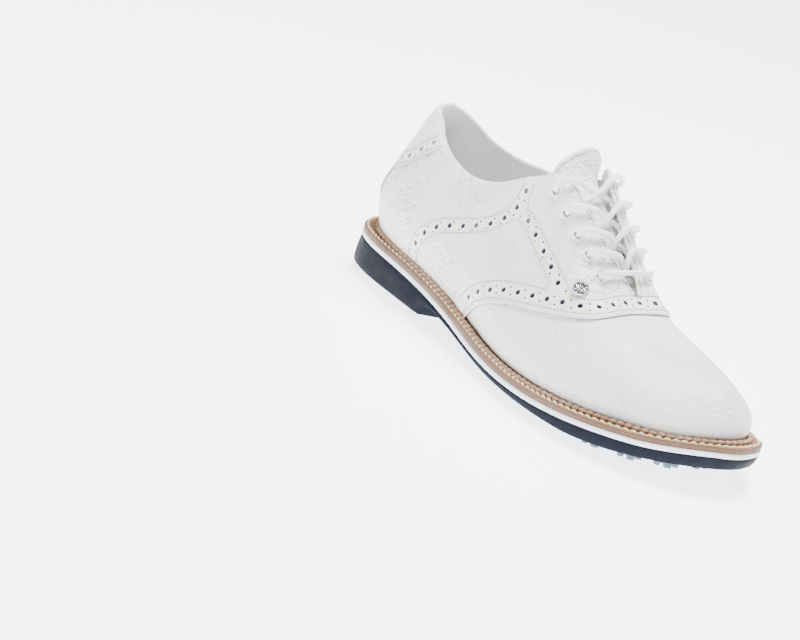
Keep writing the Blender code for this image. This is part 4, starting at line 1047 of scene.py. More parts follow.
collar_edge = [(max(s, 0.35), t - 0.003) for s, t in COLLAR]
medial_edge = [(max(s, 0.35), t + 0.003) for s, t in COLLAR_MEDIAL]
saddle_loop = pattern(
    ([(0.35, -0.992), collar_edge[0]], 2.5),
    (collar_edge, 2), ([collar_edge[-1], FACING_LATERAL[0]], 2),
    (FACING_LATERAL, 2),
    ([(217.5, 0.040), (219.4, 0.045), (219.4, 0.057), (217.5, 0.062)], 0.8),
    (FACING_MEDIAL[::-1], 2),
    ([FACING_MEDIAL[0], medial_edge[-1]], 2),
    (medial_edge[::-1], 2),
    ([medial_edge[0], (0.35, 0.992)], 2.5),
    ([(0.35, 0.992), FRONT_MEDIAL[-1]], 3),
    (FRONT_MEDIAL[::-1], 1.8), ([(234.2, 0.054), (234.2, 0.046)], 2),
    (FRONT_LATERAL, 1.8), ([FRONT_LATERAL[-1], (0.35, -0.992)], 3))
eyelet_holes = [hole(p, 2.75, 14) for side in EYELETS.values() for p in side]
eyelet_holes.append(hole(ORNAMENT, 1.8, 8))


def slack(s, t):
    """Gentle unevenness of stretched leather, in mm."""
    return 0.10 * np.sin(s * 0.21 + 9 * t) * np.sin(t * 17 - s * 0.05) + 0.07 * np.sin(
        s * 0.37 - t * 23)


def saddle_height(s, t):
    return SADDLE_OUT + slack(s, t) - drop(s, t)


def on_front(s, t):
    """Whether a point of the saddle's edge is on the front, which shows painted."""
    return s > 120 and near(np.array([[s, t * GIRTH]]), to_flat(front_line))[0] < 0.8


saddle = Mesh()
panel(saddle, "saddle", saddle_loop, saddle_height, LEATHER,
      through=eyelet_holes, blind=punches, seams=rows,
      smooth=[band_facing, band_heel, band_front, mirrored(band_facing),
              mirrored(band_heel)], step=2.6, wide=BAND + 0.6,
      edge_kind=lambda s, t: "edge" if on_front(s, t) else "saddle")
saddle.finish("saddle_and_quarters", ["quarter_lateral", "quarter_medial"], slot="leather")

seam_thread = Mesh()
for row in rows:
    stitches(seam_thread, row, lambda s, t: saddle_height(s, t) - THREAD_SUNK)

# The vamp, under the saddle's front edge.
lap = [(s - 3.5, t) for s, t in FRONT_LATERAL[::-1] + FRONT_MEDIAL[1:]]
vamp_loop = pattern(
    (lap, 2.4), ([lap[-1], (TIP, 0.992)], 3),
    ([(TIP, 0.992), (TIP, 0)], 2.4), ([(TIP, 0), (TIP, -0.992)], 2.4),
    ([(TIP, -0.992), lap[0]], 3))
vamp = Mesh()
panel(vamp, "vamp", vamp_loop, lambda s, t: -0.62 + 0.6 * slack(s, t), LEATHER, step=2.9,
      open_at=TIP)
vamp.finish("vamp_leather", ["vamp"], slot="leather")

# The tab that covers the back seam.
tab_top = [below_collar([s for s, _ in COLLAR[:6]], 0.003, side) for side in (1, -1)]
tab_sides = [top[-1:] + line for top, line in zip(tab_top, (TAB_EDGE, behind(TAB_EDGE)))]
tab_side = tab_sides[0]
tab_loop = pattern(
    (tab_top[1][::-1], 2), (tab_top[0], 2), (tab_side, 2),
    ([tab_side[-1], tab_sides[1][-1]], 3), (tab_sides[1][::-1], 2))


def tab_height(s, t):
    """The tab's face: it lies on the quarters and thins towards the collar."""
    over = 0.3 + 0.85 * ease(under_edge(s, t) / 8)
    return saddle_height(s, t) + over


def on_side(s, t):
    """Whether a point of the tab's edge is on its sides, which show painted."""
    return min(near(np.array([[s, t * GIRTH]]), to_flat(smooth_line(line, 2)))[0]
               for line in tab_sides) < 0.8


tab_line = smooth_line(tab_side, 1.5)
tab_band = sideways(tab_line, -5.4)
tab_rows = [part for by in (-1.6, -9.2) for part in clipped(sideways(tab_line, by))]
tab_rows = [r[r[:, 0] > 0.5] for r in tab_rows]
tab_rows = [r for r in tab_rows if len(r) > 4]
tab_bigs = np.arange(7.5, length_of(tab_band) - 6, PITCH)
tab_holes = [h for h in punched(tab_band, tab_bigs, tab_bigs + PITCH / 2)
             if h[:, 0].min() > 1.5 and h[:, 1].min() > HOLE_LIMIT
             and near(h, np.concatenate([tab_loop, tab_loop[:1]])).min() > 1.2]
behind_rows = [r * [-1, 1] for r in tab_rows]
tab_rows, behind_rows = ([r[under_edge(r[:, 0], r[:, 1]) > 1.2] for r in rows]
                         for rows in (tab_rows, behind_rows))
tab = Mesh()
panel(tab, "tab", tab_loop, tab_height, 1.05,
      blind=tab_holes + [h * [-1, 1] for h in tab_holes], seams=tab_rows + behind_rows,
      smooth=[tab_band, tab_band * [-1, 1]], step=2.8, wide=BAND + 0.4,
      edge_kind=lambda s, t: "edge" if on_side(s, t) else "tab")
tab.finish("heel_tab_leather", ["heel_tab"], slot="leather")
for row in tab_rows + behind_rows:
    stitches(seam_thread, row, lambda s, t: tab_height(s, t) - THREAD_SUNK)

# The padded collar: the leather meets a white binding that turns over into the ribbed lining.
places = [s for s, _ in COLLAR[:-1]] + [146]
rim_line = [below_collar(places, 0, side) for side in (1, -1)]
rim = np.concatenate([run(flat(rim_line[1][::-1]), 2), run(flat(rim_line[0]), 2),
                      flat([rim_line[0][-1]])])
lip = np.array([(3.0, -0.75), (1.9, -0.95), (0.9, -1.25), (0.0, -1.75), (-0.45, -2.3),
                (-0.25, -2.95), (0.4, -3.5), (1.3, -3.78), (2.2, -3.7), (3.0, -3.0),
                (3.4, -1.8)])
centre = np.array([1.5, -2.2])
roll = Mesh()
points = []
for i, (s, t) in enumerate(rim / [1, GIRTH]):
    ends = min(i, len(rim) - 1 - i)
    down, high = ((lip - centre) * min(1, 0.35 + 0.1 * ends) + centre).T
    points.append(LAST.over(np.full(len(lip), s), t - down / HIGH, high))
points = np.array(points)
m = len(lip)
along = distances(points[:, 4])
around_lip = distances(lip)
faces = strip_faces(len(rim), m, closed_columns=True)
faces += [tuple(range(m)), tuple(range(len(rim) * m - m, len(rim) * m))]
roll.add(points.reshape(-1, 3), faces, "rim", np.stack(
    [np.repeat(along, m), np.tile(around_lip, len(rim))], 1))
roll.finish("collar_roll", ["collar_rim"], slot="rim")

places = [s for s, _ in COLLAR[:-1]]
lining_top = [below_collar(places, 0.009, side) for side in (1, -1)]
lining_front = [(142, -0.405), (165, -0.40), (186, -0.35), (203, -0.31), (206, -0.35),
                (203, -0.44), (182, -0.59), (158, -0.74), (137, -0.89), (131, -0.975)]
inner_front = [(142, -0.46), (165, -0.46), (186, -0.39), (203, -0.34), (206, -0.38),
               *lining_front[5:]]


def swell(s, t):
    """Room for the padding: none at the collar's edge, the most below it, none lower down."""
    down = (collar_t(s) - t) * HIGH
    up = ease(np.clip(down / 12, 0, 1) * np.clip((42 - down) / 20, 0, 1))
    return -3.2 * up * np.clip((136 - np.abs(s)) / 25, 0, 1)


lining = Mesh()
panel(lining, "lining", pattern(
    ((lining_top[1] + behind(inner_front[:1]))[::-1], 3),
    (lining_top[0] + lining_front[:1], 3), (lining_front, 3),
    ([lining_front[-1], behind(lining_front)[-1]], 4),
    (behind(inner_front)[::-1], 3)),
    lambda s, t: -2.85 + swell(s, t), 0.8, step=3.4, edge=0)
padded = lining.finish("collar_lining_padded", ["quarter_lining", "collar_padding"],
                       slot="textile")

rear = [(s - 13, t * 0.983) for s, t in FRONT_LATERAL[::-1] + FRONT_MEDIAL[1:]]
toe_lining = Mesh()
panel(toe_lining, "lining", pattern(
    (rear, 5), ([rear[-1], (TIP, 0.975)], 5),
    ([(TIP, 0.975), (TIP, 0)], 5), ([(TIP, 0), (TIP, -0.975)], 5),
    ([(TIP, -0.975), rear[0]], 5)), -4.2, 0.8, step=5, edge=0, open_at=TIP)
toe_lining.finish("toe_lining", ["vamp_lining"], slot="textile")

# ------------------------------------------------------------------ tongue
def rise(s, t):
    """The free end of the tongue stands prouder, most beside its middle."""
    low, high = TONGUE_RISE
    share = ease((t + 0.24) / 0.3) * (1 - ease((t - 0.23) / 0.13))
    return (low + (high - low) * share) * ease((154 - s) / 12)


def tongue_loop(by, step):
    """The tongue's outline, narrower by `by` in t at its widest and shorter at its top."""
    keep = 1 - by / (TONGUE_MIDDLE - TONGUE_SIDE[-1][1])
    left = [(s, TONGUE_MIDDLE + (t - TONGUE_MIDDLE) * keep) for s, t in TONGUE_SIDE]
    left[-1] = (left[-1][0] + 20 * by, left[-1][1])
    top = [(s + 40 * by, TONGUE_MIDDLE + (t - TONGUE_MIDDLE) * keep) for s, t in TONGUE_TOP]
    right = [(s, 2 * TONGUE_MIDDLE - t) for s, t in left]
    return pattern((left, step), ([left[-1], *top, right[-1]], step), (right[::-1], step),
                   ([right[0], left[0]], step))


def tongue_height(s, t):
    """The tongue's outer face over the last, with its soft wrinkles across the instep."""
    wrinkle = 0.35 * np.sin(0.55 * s + 3 * np.sin(5 * t)) * np.exp(-((t - 0.05) / 0.2) ** 2)
    return -6.0 + rise(s, t) + 1.4 * slack(s, t) + wrinkle * ease((s - 156) / 12)


outline = tongue_loop(0, 2.2)
edge_row = inset(outline, 2.3)
edge_row = edge_row[edge_row[:, 0] < 214] / [1, GIRTH]
start = np.argmax(np.linalg.norm(np.roll(edge_row, 1, 0) - edge_row, axis=1))
edge_row = np.roll(edge_row, -start, 0)
tongue = Mesh()
panel(tongue, "tongue", outline, tongue_height, 1.5, seams=[edge_row], step=2.8,
      spread=TONGUE_EVEN)
tongue.finish("tongue_leather", ["tongue"], TONGUE_BODY, "leather")
tongue_thread = Mesh()
stitches(tongue_thread, edge_row, lambda s, t: tongue_height(s, t) - THREAD_SUNK,
         spread=TONGUE_EVEN)
tongue_thread.finish("tongue_stitches", ["tongue"], TONGUE_BODY, "leather", weld=False)

pad_outline = tongue_loop(0.05, 3)
points, faces = fill(pad_outline, step=3.4)
s, t = points[:, 0], points[:, 1] / GIRTH
deep = 1 - np.exp(-near(points, np.concatenate([pad_outline, pad_outline[:1]])) / 3.0)
channel = 0.45 * np.exp(-((t - TONGUE_MIDDLE) / 0.03) ** 2)
cushion = Mesh()
top = cushion.add(LAST.over(s, t, -7.9 + rise(s, t), TONGUE_EVEN), faces, "sock", points)
under = cushion.add(LAST.over(s, t, -8.2 + rise(s, t) - 2.2 * deep * (1 - channel), TONGUE_EVEN),
                    [f[::-1] for f in faces], "sock", points)
directed = {(f[i], f[(i + 1) % 3]) for f in faces for i in range(3)}
for a, b in directed:
    if (b, a) not in directed:
        cushion.faces.append((top + b, top + a, under + a, under + b))
        cushion.kinds.append("sock")
cushion.finish("tongue_cushion", ["tongue_padding"], TONGUE_BODY, "foam")

# ------------------------------------------------------------------ eyelets and ornament
for side_name, places in EYELETS.items():
    for number, (s, t) in enumerate(places, 1):
        ring = Mesh()
        matrix = frame_at(s, t, SADDLE_OUT)
        flange = [(2.25, 0.62), (2.5, 0.86), (2.9, 0.98), (3.3, 0.9), (3.6, 0.62), (3.72, 0.25),
                  (3.7, 0.02), (2.62, 0.0), (2.6, -1.1), (2.6, -2.1), (2.45, -2.3)]
        bore = [(2.45, -2.3), (2.05, -2.1), (1.95, -1.0), (1.95, 0.1), (2.02, 0.42),
                (2.25, 0.62)]
        ring.add(*turned(flange, matrix, 40), "eyelet")
        # The lower bore in the dark hole colour: painted shade inside the eyelet.
        ring.add(*turned(bore[:3], matrix, 40), "pit")
        ring.add(*turned(bore[2:], matrix, 40), "eyelet_edge")
        ring.finish(f"eyelet_ring_{side_name}_{number}", [f"eyelet_{side_name}_{number}"],
                    slot="enamel", angle=60)

badge = Mesh()
matrix = frame_at(*ORNAMENT, SADDLE_OUT)
badge.add(*turned([(0.0, 0.75), (0.8, 0.75), (3.35, 0.75), (3.5, 0.8)], matrix, 64),
          "silver_dark")
badge.add(*turned([(3.5, 0.8), (3.55, 1.35), (3.75, 1.55), (4.1, 1.55), (4.4, 1.25), (4.5, 0.8),
                   (4.45, 0.1), (4.2, 0.0), (1.5, 0.0), (1.4, -0.3), (1.4, -2.0), (0.0, -2.0)],
                  matrix, 64), "silver")
badge.add(*turned([(0.0, 1.5), (0.5, 1.48), (0.75, 1.3), (0.8, 0.75)], matrix, 40), "silver")
rotation = matrix.to_3x3()
for k in range(8):
    # A petal of a plain rosette, its raised rim a closed loop.
    turn = 2 * math.pi * np.arange(26) / 25
    x = 2.15 + 1.05 * np.cos(turn)
    y = 0.52 * np.sin(turn) * (1.0 + 0.25 * np.cos(turn))
    angle = math.pi / 4 * k
    petal = np.stack([x * math.cos(angle) - y * math.sin(angle),
                      x * math.sin(angle) + y * math.cos(angle), np.full(26, 1.12)], 1)
    petal = petal @ np.array(rotation).T + np.array(matrix.translation)
    badge.add(*sweep(petal, 0.24, 8)[:2], "silver")
badge.finish("rosette_button", ["ornament"], slot="silver", angle=30)


# ------------------------------------------------------------------ lace
LACE_R = 1.45  # the braid's own radius, a little under the CAD cord's


def lace_half(start, cross_over):
    """From the bar over the lowest eyelets up to one top eyelet and inside."""
    edges = {"lateral": FACING_LATERAL, "medial": FACING_MEDIAL}
    path, here = [], start
    for level in range(4, -1, -1):
        s, t = EYELETS[here][level]
        out = -1 if here == "lateral" else 1
        path += [(s, t - out * 0.012, 4.9), (s, t - out * 0.006, 3.4), (s, t - out * 0.004, -1.8)]
        if level == 0:
            break
        knots = np.array(edges[here], float)
        s_edge = s - 4.5
        t_edge = np.interp(s_edge, knots[:, 0], knots[:, 1])
        nxt = "medial" if here == "lateral" else "lateral"
        s2, t2 = EYELETS[nxt][level - 1]
        t2_edge = np.interp(s2, *np.array(edges[nxt], float).T)
        high = cross_over == nxt
        middle = (t_edge + t2_edge) / 2
        path += [(s - 0.5, t - out * 0.008, -3.8), (s_edge + 1, t_edge + out * 0.02, -4.0),
                 (s_edge - 0.5, t_edge - out * 0.04, -3.0 if not high else -2.4),
                 ((s_edge + s2) / 2, middle, 3.4 if high else -0.6),
                 (s2 + 1.2, t2_edge + out * 0.01, 4.8 if high else 3.6),
                 (s2 + 0.3, t2 + out * 0.045, 5.0)]
        here = nxt
    out = -1 if here == "lateral" else 1
    s, t = EYELETS[here][0]
    edge = 0.325 if here == "lateral" else 0.325 + 2 * TONGUE_MIDDLE
    path += [(s + 0.4, t + out * 0.008, -3.7), (s + 1, out * (edge + 0.004), -4.2),
             (s + 2, out * (edge + 0.062), -5.7), (s + 2.6, out * (edge + 0.085), -6.1)]
    return path


first, second = lace_half("medial", "medial"), lace_half("lateral", "medial")
(s_a, t_a), (s_b, t_b) = EYELETS["lateral"][4], EYELETS["medial"][4]
bar = [(s_a + (s_b - s_a) * k, t_a + (t_b - t_a) * k, 4.4) for k in (0.15, 0.4, 0.6, 0.85)]
s, t, height = np.array(second[::-1] + bar + first, float).T
route = LAST.over(s, t, height)
u = np.append(0, np.cumsum(np.linalg.norm(np.diff(route, axis=0), axis=1) ** 0.62))
dense = np.interp(np.linspace(0, len(u) - 1, 14 * (len(u) - 1) + 1), np.arange(len(u)), u)
route = weights(u, dense) @ route
gap = distances(route)
even = np.linspace(0, gap[-1], round(gap[-1] / 0.9))
route = between(even, gap, route)
lace = Mesh()
tube, faces, uv = sweep(route, LACE_R, 16)
lace.add(tube, faces, "lace", uv)
lace.finish("lace_cord", ["lace"], slot="lace", weld=False, angle=80)

seam_thread.finish("upper_stitches", ["quarter_lateral"], slot="leather", weld=False)

# ------------------------------------------------------------------ sole
sole_outline = closed_run(SOLE, 3)


def over_ground(x, y):
    """The sole's underside: the heel block, the slope at its breast, the waist and forepart."""
    (ax, ay), (bx, by) = BREAST
    length = math.hypot(bx - ax, by - ay)
    ahead = ((x - ax) * (by - ay) - (y - ay) * (bx - ax)) / length
    waist = ground_z(x)
    return np.where(ahead < BREAST_RUN,
                    HEEL_Z + (waist - HEEL_Z) * np.clip(ahead / BREAST_RUN, 0, 1), waist)


def flare(x):
    return np.interp(x, [-150, -60, 0, 120, 152], [1.2, 0.8, -0.8, -1.8, -2.6])


def ring_of(loop, z):
    z = z(*loop.T) if callable(z) else z
    return np.column_stack([loop, np.broadcast_to(z, len(loop))])


def stack(mesh, rings, kind):
    """Walls between rings of points that match one to one. `kind` is one or a list."""
    n = len(rings[0])
    length = distances(rings[0])
    for k in range(len(rings) - 1):
        mesh.add(np.concatenate(rings[k:k + 2]), strip_faces(2, n, closed_columns=True),
                 kind if isinstance(kind, str) else kind[k], np.tile(
                     np.stack([length, np.full(n, 0.0)], 1), (2, 1)))


def cap(mesh, loop, z, kind, holes=(), step=5.0, down=False, lines=()):
    """A face over an outline, its height a function of (x, y)."""
    points, faces = fill(loop, holes, step, lines)
    height = z(*points.T) if callable(z) else np.full(len(points), float(z))
    mesh.add(np.column_stack([points, height]), [f[::-1] if down else f for f in faces], kind,
             points)


def shifted(function, by):
    return lambda x, y: function(x) + by


# The welt: a flat flange with a stitched row, a groove, and a braided bead at the upper.
foot_edge = feather(0, 3.0)
top = shifted(welt_z, 0)
flange = Mesh()
inner_loop = inset(foot_edge, 2.2)
rings = [ring_of(inset(sole_outline, d), lambda x, y, z=z: welt_z(x) + z)
         for d, z in ((0.55, -2.58), (0.15, -2.45), (0.0, -2.1), (0.0, -1.55), (0.12, -1.45),
                      (0.12, -1.3), (-0.05, -1.2), (-0.05, -0.45), (0.1, -0.14), (0.45, 0.0))]
stack(flange, rings, ["welt_edge", "welt_edge", "welt_edge", "welt_line", "welt_line",
                      "welt_line", "welt_edge", "welt_edge", "welt"])
cap(flange, inset(sole_outline, 0.45), top, "welt", [inner_loop], 4)
cap(flange, inset(sole_outline, 0.55), shifted(welt_z, -2.58), "welt", [inner_loop], 6, True)
stack(flange, [ring_of(inner_loop, top), ring_of(inner_loop, shifted(welt_z, -2.58))], "welt")
flange.finish("welt_flange", ["welt"], slot="welt")


def along_loop(loop, z, pitch):
    """Points on a closed loop at even steps, and the loop's length."""
    closed = ring_of(np.concatenate([loop, loop[:1]]), z)
    u = distances(closed)
    n = round(u[-1] / pitch)
    at = np.arange(n) * u[-1] / n
    return between(at, u, closed), u[-1]


LAY = 4.3  # one stitch of the welt
bead = Mesh()
centre_line, around = along_loop(inset(foot_edge, -2.35), shifted(welt_z, 0.95), 0.45)
n, sides = len(centre_line), 14
turns = round(around / LAY)
along = np.roll(centre_line, -1, 0) - np.roll(centre_line, 1, 0)
along /= np.linalg.norm(along, axis=1, keepdims=True)
out = np.cross(along, [0, 0, 1.0])
out /= np.linalg.norm(out, axis=1, keepdims=True)
up = np.cross(out, along)
angle = 2 * math.pi * np.arange(sides) / sides
phase = turns * np.arange(n)[:, None] / n - 0.20 * np.sin(angle)[None] - 0.12 * np.cos(angle)
ridge = np.abs(np.sin(math.pi * phase)) ** 0.55
radius = 0.75 + 0.65 * ridge
tube = (centre_line[:, None] + out[:, None] * (radius * np.cos(angle))[..., None] * 1.15
        + up[:, None] * (radius * np.sin(angle))[..., None] * 0.95)
# `groove` marks the low places between the ridges, for the painted shade in the welt materials.
bead.add(tube.reshape(-1, 3), strip_faces(n, sides, True, True), "bead", groove=(
    1 - ridge).ravel())
bead.finish("welt_bead", ["welt"], slot="welt", angle=70)

welt_thread = Mesh()
centre_line, around = along_loop(inset(sole_outline, 1.75), shifted(welt_z, 0.0), 0.25)
count = round(around / LAY)
ups = np.array([-0.45, 0.10, 0.38, 0.46, 0.38, 0.10, -0.45])
widths = np.array([0.35, 0.52, 0.60, 0.62, 0.60, 0.52, 0.35])
closed_line = np.concatenate([centre_line, centre_line])
for k in range(count):
    at = (k + 0.5 + np.linspace(-0.43, 0.43, 7)) * len(centre_line) / count
    p = between(at % len(centre_line), np.arange(len(closed_line)), closed_line)
    lean = np.cross(p[-1] - p[0], [0, 0, 1.0])
    lean /= np.linalg.norm(lean)
    p = p + np.outer(ups, [0, 0, 1.0]) + np.outer(np.linspace(-0.3, 0.3, 7), lean)
    points, faces, uv = sweep(p, widths, 8)
    welt_thread.add(points, faces, "welt_stitch", uv)
welt_thread.finish("welt_stitches", ["welt"], slot="welt", weld=False)

# The strip between the welt and the sole.
strip = Mesh()
a, b = -WELT - GAP, -WELT - GAP - STRIP
rings = [ring_of(inset(sole_outline, d), lambda x, y, z=z: welt_z(x) + z)
         for d, z in ((0.6, b), (0.12, b + 0.12), (-0.12, b + 0.6), (-0.2, (a + b) / 2),
                      (-0.12, a - 0.6), (0.12, a - 0.12), (0.6, a))]
stack(strip, rings, "strip")
cap(strip, inset(sole_outline, 0.6), shifted(welt_z, a), "strip", step=8)
cap(strip, inset(sole_outline, 0.6), shifted(welt_z, b), "strip", step=8, down=True)
strip.finish("rubber_strip", ["midsole_strip"], slot="strip", angle=60)

# The sole unit, with rounded edges and real pockets.
plate_loop = anticlockwise([
    run(PLATE_LATERAL, 3), run([PLATE_LATERAL[-1], (34.3, -42.6), PLATE_TOE[0]], 1.5),
    run(PLATE_TOE, 3), run([PLATE_TOE[-1], (76.3, 42.8), PLATE_WAIST[0]], 1.5),
    run(PLATE_WAIST, 3), run([PLATE_WAIST[-1], PLATE_LATERAL[0]], 3)])
pad_loop = anticlockwise([run(PAD_OUTER, 3), run([PAD_OUTER[-1], PAD_WEDGE[0]], 3),
                          run(PAD_WEDGE[:2], 3), run(PAD_WEDGE[1:3], 3),
                          run(PAD_WEDGE[2:], 3), run([PAD_WEDGE[-1], PAD_OUTER[0]], 3)])


def breast_line(ahead):
    """A line across the sole, `ahead` in front of the breast."""
    (ax, ay), (bx, by) = BREAST
    d = np.array([bx - ax, by - ay]) / math.hypot(bx - ax, by - ay)
    foot = np.array([ax, ay]) + np.array([d[1], -d[0]]) * ahead
    return foot - 20 * d, foot + 95 * d


under_strip = -WELT - STRIP - 2 * GAP
unit = Mesh()
high = ring_of(sole_outline, shifted(welt_z, under_strip))
normal = sole_outline - inset(sole_outline, 1)
normal /= np.linalg.norm(normal, axis=1, keepdims=True)
low_loop = sole_outline + normal * flare(sole_outline[:, 0])[:, None]
low = ring_of(low_loop, 0)
low[:, 2] = over_ground(*sole_outline.T)
rings = [high + np.column_stack([-normal * 0.6, np.zeros(len(high))])]
for share, into in ((0.015, 0.12), (0.05, 0.0), (0.25, -0.25), (0.5, -0.35), (0.75, -0.25),
                    (0.92, 0.0)):
    ring = high + (low - high) * share
    rings.append(ring - np.column_stack([normal * into, np.zeros(len(high))]))
for into, lift in ((0.18, 0.45), (0.6, 0.12), (1.2, 0.0)):
    ring = low - np.column_stack([normal * into, np.full(len(high), -lift)])
    rings.append(ring)
stack(unit, rings, "navy")
base = inset(low_loop, 0) - normal * 1.2
pockets = [inset(plate_loop, -0.35), inset(pad_loop, -0.35)]
cap(unit, base, over_ground, "navy", pockets, 4.5, True, [breast_line(0),
                                                          breast_line(BREAST_RUN)])
floors = [lambda x, y: ground_z(x) + PLATE + GAP, lambda x, y: HEEL_Z + PAD + GAP + 0 * x]
for loop, floor_z, kind in zip(pockets, floors, ("pocket", "pocket_heel")):
    stack(unit, [ring_of(loop, over_ground), ring_of(loop, floor_z)], "navy")
    cap(unit, loop, floor_z, kind, step=6, down=True)
cap(unit, inset(sole_outline, 0.6), shifted(welt_z, under_strip), "navy", step=8)
unit.finish("sole_rubber", ["sole_unit"], slot="navy", angle=50)


def groove(x, y):
    """Depth of the flex groove under the ball."""
    (ax, ay), (bx, by) = GROOVE
    off = np.abs((x - ax) * (by - ay) - (y - ay) * (bx - ax)) / math.hypot(bx - ax, by - ay)
    return 1.2 * np.exp(-(off / 1.7) ** 2)


def insert(name, node, kind, loop, upper, lower, slot):
    """A plate of clear rubber with rounded lower edges, sitting in its pocket."""
    mesh = Mesh()
    rings = [ring_of(inset(loop, d), lambda x, y, z=z, share=share:
                     lower(x, y) * (1 - share) + upper(x, y) * share + z)
             for d, z, share in ((0.9, 0, 0), (0.35, 0.12, 0), (0.0, 0.5, 0), (0, 0, 1))]
    stack(mesh, rings, kind)
    cap(mesh, inset(loop, 0.9), lower, kind, step=3, down=True)
    cap(mesh, loop, upper, kind, step=6)
    mesh.finish(name, [node], slot=slot, angle=60)


def nub(mesh, x, y, turn, width, deep, ground, shape):
    """One blunt spike, a rounded four-sided block, with its root sunk in the rubber."""
    m = 24
    angle = 2 * math.pi * np.arange(m) / m
    c, s = np.cos(angle), np.sin(angle)
    power = 2 / shape
    ring = np.stack([np.sign(c) * np.abs(c) ** power * width,
                     np.sign(s) * np.abs(s) ** power * deep], 1)
    turned_ring = ring @ np.array([[math.cos(turn), math.sin(turn)],
                                   [-math.sin(turn), math.cos(turn)]])
    rows = []
    for share, z in ((1.16, ground - 0.1), (1.02, ground - 0.75), (0.97, ground - 2.0),
                     (0.88, ground - 3.35), (0.80, ground - 3.8), (0.62, ground - 4.0),
                     (0.30, ground - 3.82), (0.02, ground - 3.78)):
        rows.append(np.column_stack([turned_ring * share + [x, y], np.full(m, z)]))
    rows = [np.column_stack([turned_ring * 1.0 + [x, y], np.full(m, ground + 0.3)])] + rows
    mesh.add(np.concatenate(rows), strip_faces(len(rows), m, closed_columns=True)
             + [tuple(range(m)), tuple(range(8 * m, 9 * m))], "nub")


def clusters(name, node, groups, slot):
    mesh = Mesh()
    for places, apart, width, ground in groups:
        for x, y in places:
            for k in range(4):
                turn = math.radians(57 + 90 * k)
                px, py = x + apart * math.cos(turn), y + apart * math.sin(turn)
                nub(mesh, px, py, turn, width * 0.80, width, float(ground(px)), 5.0)
    mesh.finish(name, [node], slot=slot, angle=45)


def forefoot_ground(x):
    return ground_z(np.array([x]))[0]


insert("forefoot_plate_blue", "forefoot_plate", "blue", plate_loop,
       lambda x, y: ground_z(x) + PLATE, lambda x, y: ground_z(x) - PROUD + groove(x, y), "blue")
insert("heel_pad_clear", "heel_pad", "clear", pad_loop,
       lambda x, y: HEEL_Z + PAD + 0 * x, lambda x, y: HEEL_Z - PROUD + 0 * x, "clear")
clusters("forefoot_spikes", "forefoot_plate",
         [(SMALL_NUBS, 4.6, 2.3, forefoot_ground), (LARGE_NUBS, 8.4, 3.7, forefoot_ground)],
         "blue")
clusters("heel_spikes", "heel_pad", [(HEEL_NUBS, 7.6, 3.5, lambda x: HEEL_Z)], "clear")

ex, ey, er = EMBLEM
low_z = float(over_ground(np.array([ex]), np.array([ey]))[0])
slope = float((ground_z(np.array([ex + 5.0])) - ground_z(np.array([ex - 5.0])))[0]) / 10
ring_frame = Matrix.Translation(Vector((ex, ey, low_z - GAP - 0.2))) @ Matrix.Rotation(
    -math.atan(slope), 4, "Y")
mark = Mesh()
profile = [(er, 0.35), (er, -0.45), (er - 0.2, -0.66), (er - 1.1, -0.66), (er - 1.3, -0.45),
           (er - 1.3, 0.35), (er, 0.35)]
mark.add(*turned(profile, ring_frame, 64), "white")
mark.finish("waist_ring", ["emblem_ring"], slot="white")

# ------------------------------------------------------------------ footbed and kept nodes
bed_loop = inset(feather(0, 4.0), 6.3)


def bed_top(x, y):
    return welt_z(x) + 6.4 + np.clip((np.abs(y) - 14) / 14, 0, 1) ** 2 * np.clip(
        (-20 - x) / 60, 0, 1) * 3


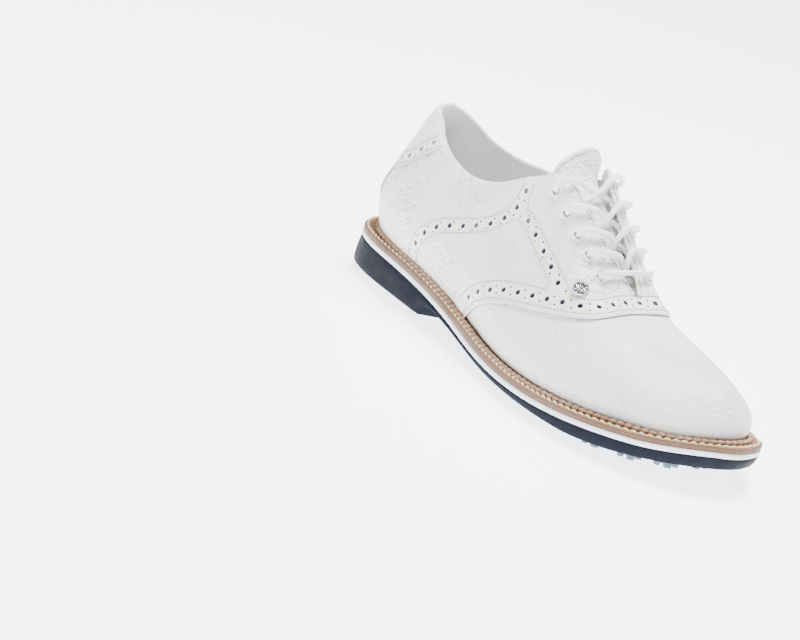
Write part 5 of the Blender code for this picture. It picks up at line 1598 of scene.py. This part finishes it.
bed = Mesh()
rings = [ring_of(inset(bed_loop, d), lambda x, y, z=z, share=share:
                 (welt_z(x) + 2.7) * (1 - share) + bed_top(x, y) * share + z)
         for d, z, share in ((0.4, 0, 0), (0.0, 0.4, 0), (0.0, -0.9, 1), (0.25, -0.35, 1),
                             (0.9, 0.0, 1))]
stack(bed, rings, ["foam", "foam", "sock", "sock"])
cap(bed, inset(bed_loop, 0.9), bed_top, "sock", step=4)
cap(bed, inset(bed_loop, 0.4), shifted(welt_z, 2.7), "foam", step=8, down=True)
bed.finish("cushioned_footbed", ["footbed"], slot="foam")

for node, kind in (("insole_board", "board"), ("cork_filler", "cork"), ("shank", "steel"),
                   ("toe_puff", "stiffener"), ("heel_counter", "stiffener"),
                   ("aglet_lateral", "clear"), ("aglet_medial", "clear")):
    obj = bpy.data.objects[node]
    for slot in obj.material_slots:
        slot.material = MATERIALS[kind]


# ------------------------------------------------------------------ floor and light
def plain_floor():
    n = Net("floor", (0.93, 0.93, 0.935), 0.32, Specular_IOR_Level=0.35,
            Emission_Color=(1.0, 1.0, 1.0, 1), Emission_Strength=3.4)
    n.set(Roughness=n.ramp(n.noise(3.0), 0.3, 0.7, 0.30, 0.36))
    size = 6.0
    mesh = bpy.data.meshes.new("floor")
    mesh.from_pydata([(-size, -size, 0), (size, -size, 0), (size, size, 0), (-size, size, 0)],
                     [], [(0, 1, 2, 3)])
    mesh.materials.append(n.material)
    obj = bpy.data.objects.new("floor", mesh)
    bpy.context.scene.collection.objects.link(obj)


def softbox(name, place, target, size, power, colour=(1, 1, 1)):
    data = bpy.data.lights.new(name, "AREA")
    data.shape = "RECTANGLE"
    data.size, data.size_y = size
    data.energy = power
    data.color = colour
    obj = bpy.data.objects.new(name, data)
    obj.location = place
    direction = Vector(target) - Vector(place)
    obj.rotation_euler = direction.to_track_quat("-Z", "Y").to_euler()
    bpy.context.scene.collection.objects.link(obj)


plain_floor()
softbox("overhead", (-0.15, 0.25, 1.3), (0, 0, 0), (0.6, 0.6), 62)
softbox("key", (0.7, -1.1, 1.2), (0, 0, 0.05), (0.45, 0.45), 22)
softbox("rim_left", (-1.2, -0.6, 0.7), (0, 0, 0.05), (0.6, 0.6), 4)
softbox("far_side", (0.3, 1.3, 0.8), (0, 0, 0.05), (0.8, 0.6), 5)
world = bpy.data.worlds.new("studio")
world.use_nodes = True
world.node_tree.nodes["Background"].inputs[0].default_value = (0.96, 0.97, 1.0, 1)
world.node_tree.nodes["Background"].inputs[1].default_value = 0.30
bpy.context.scene.world = world
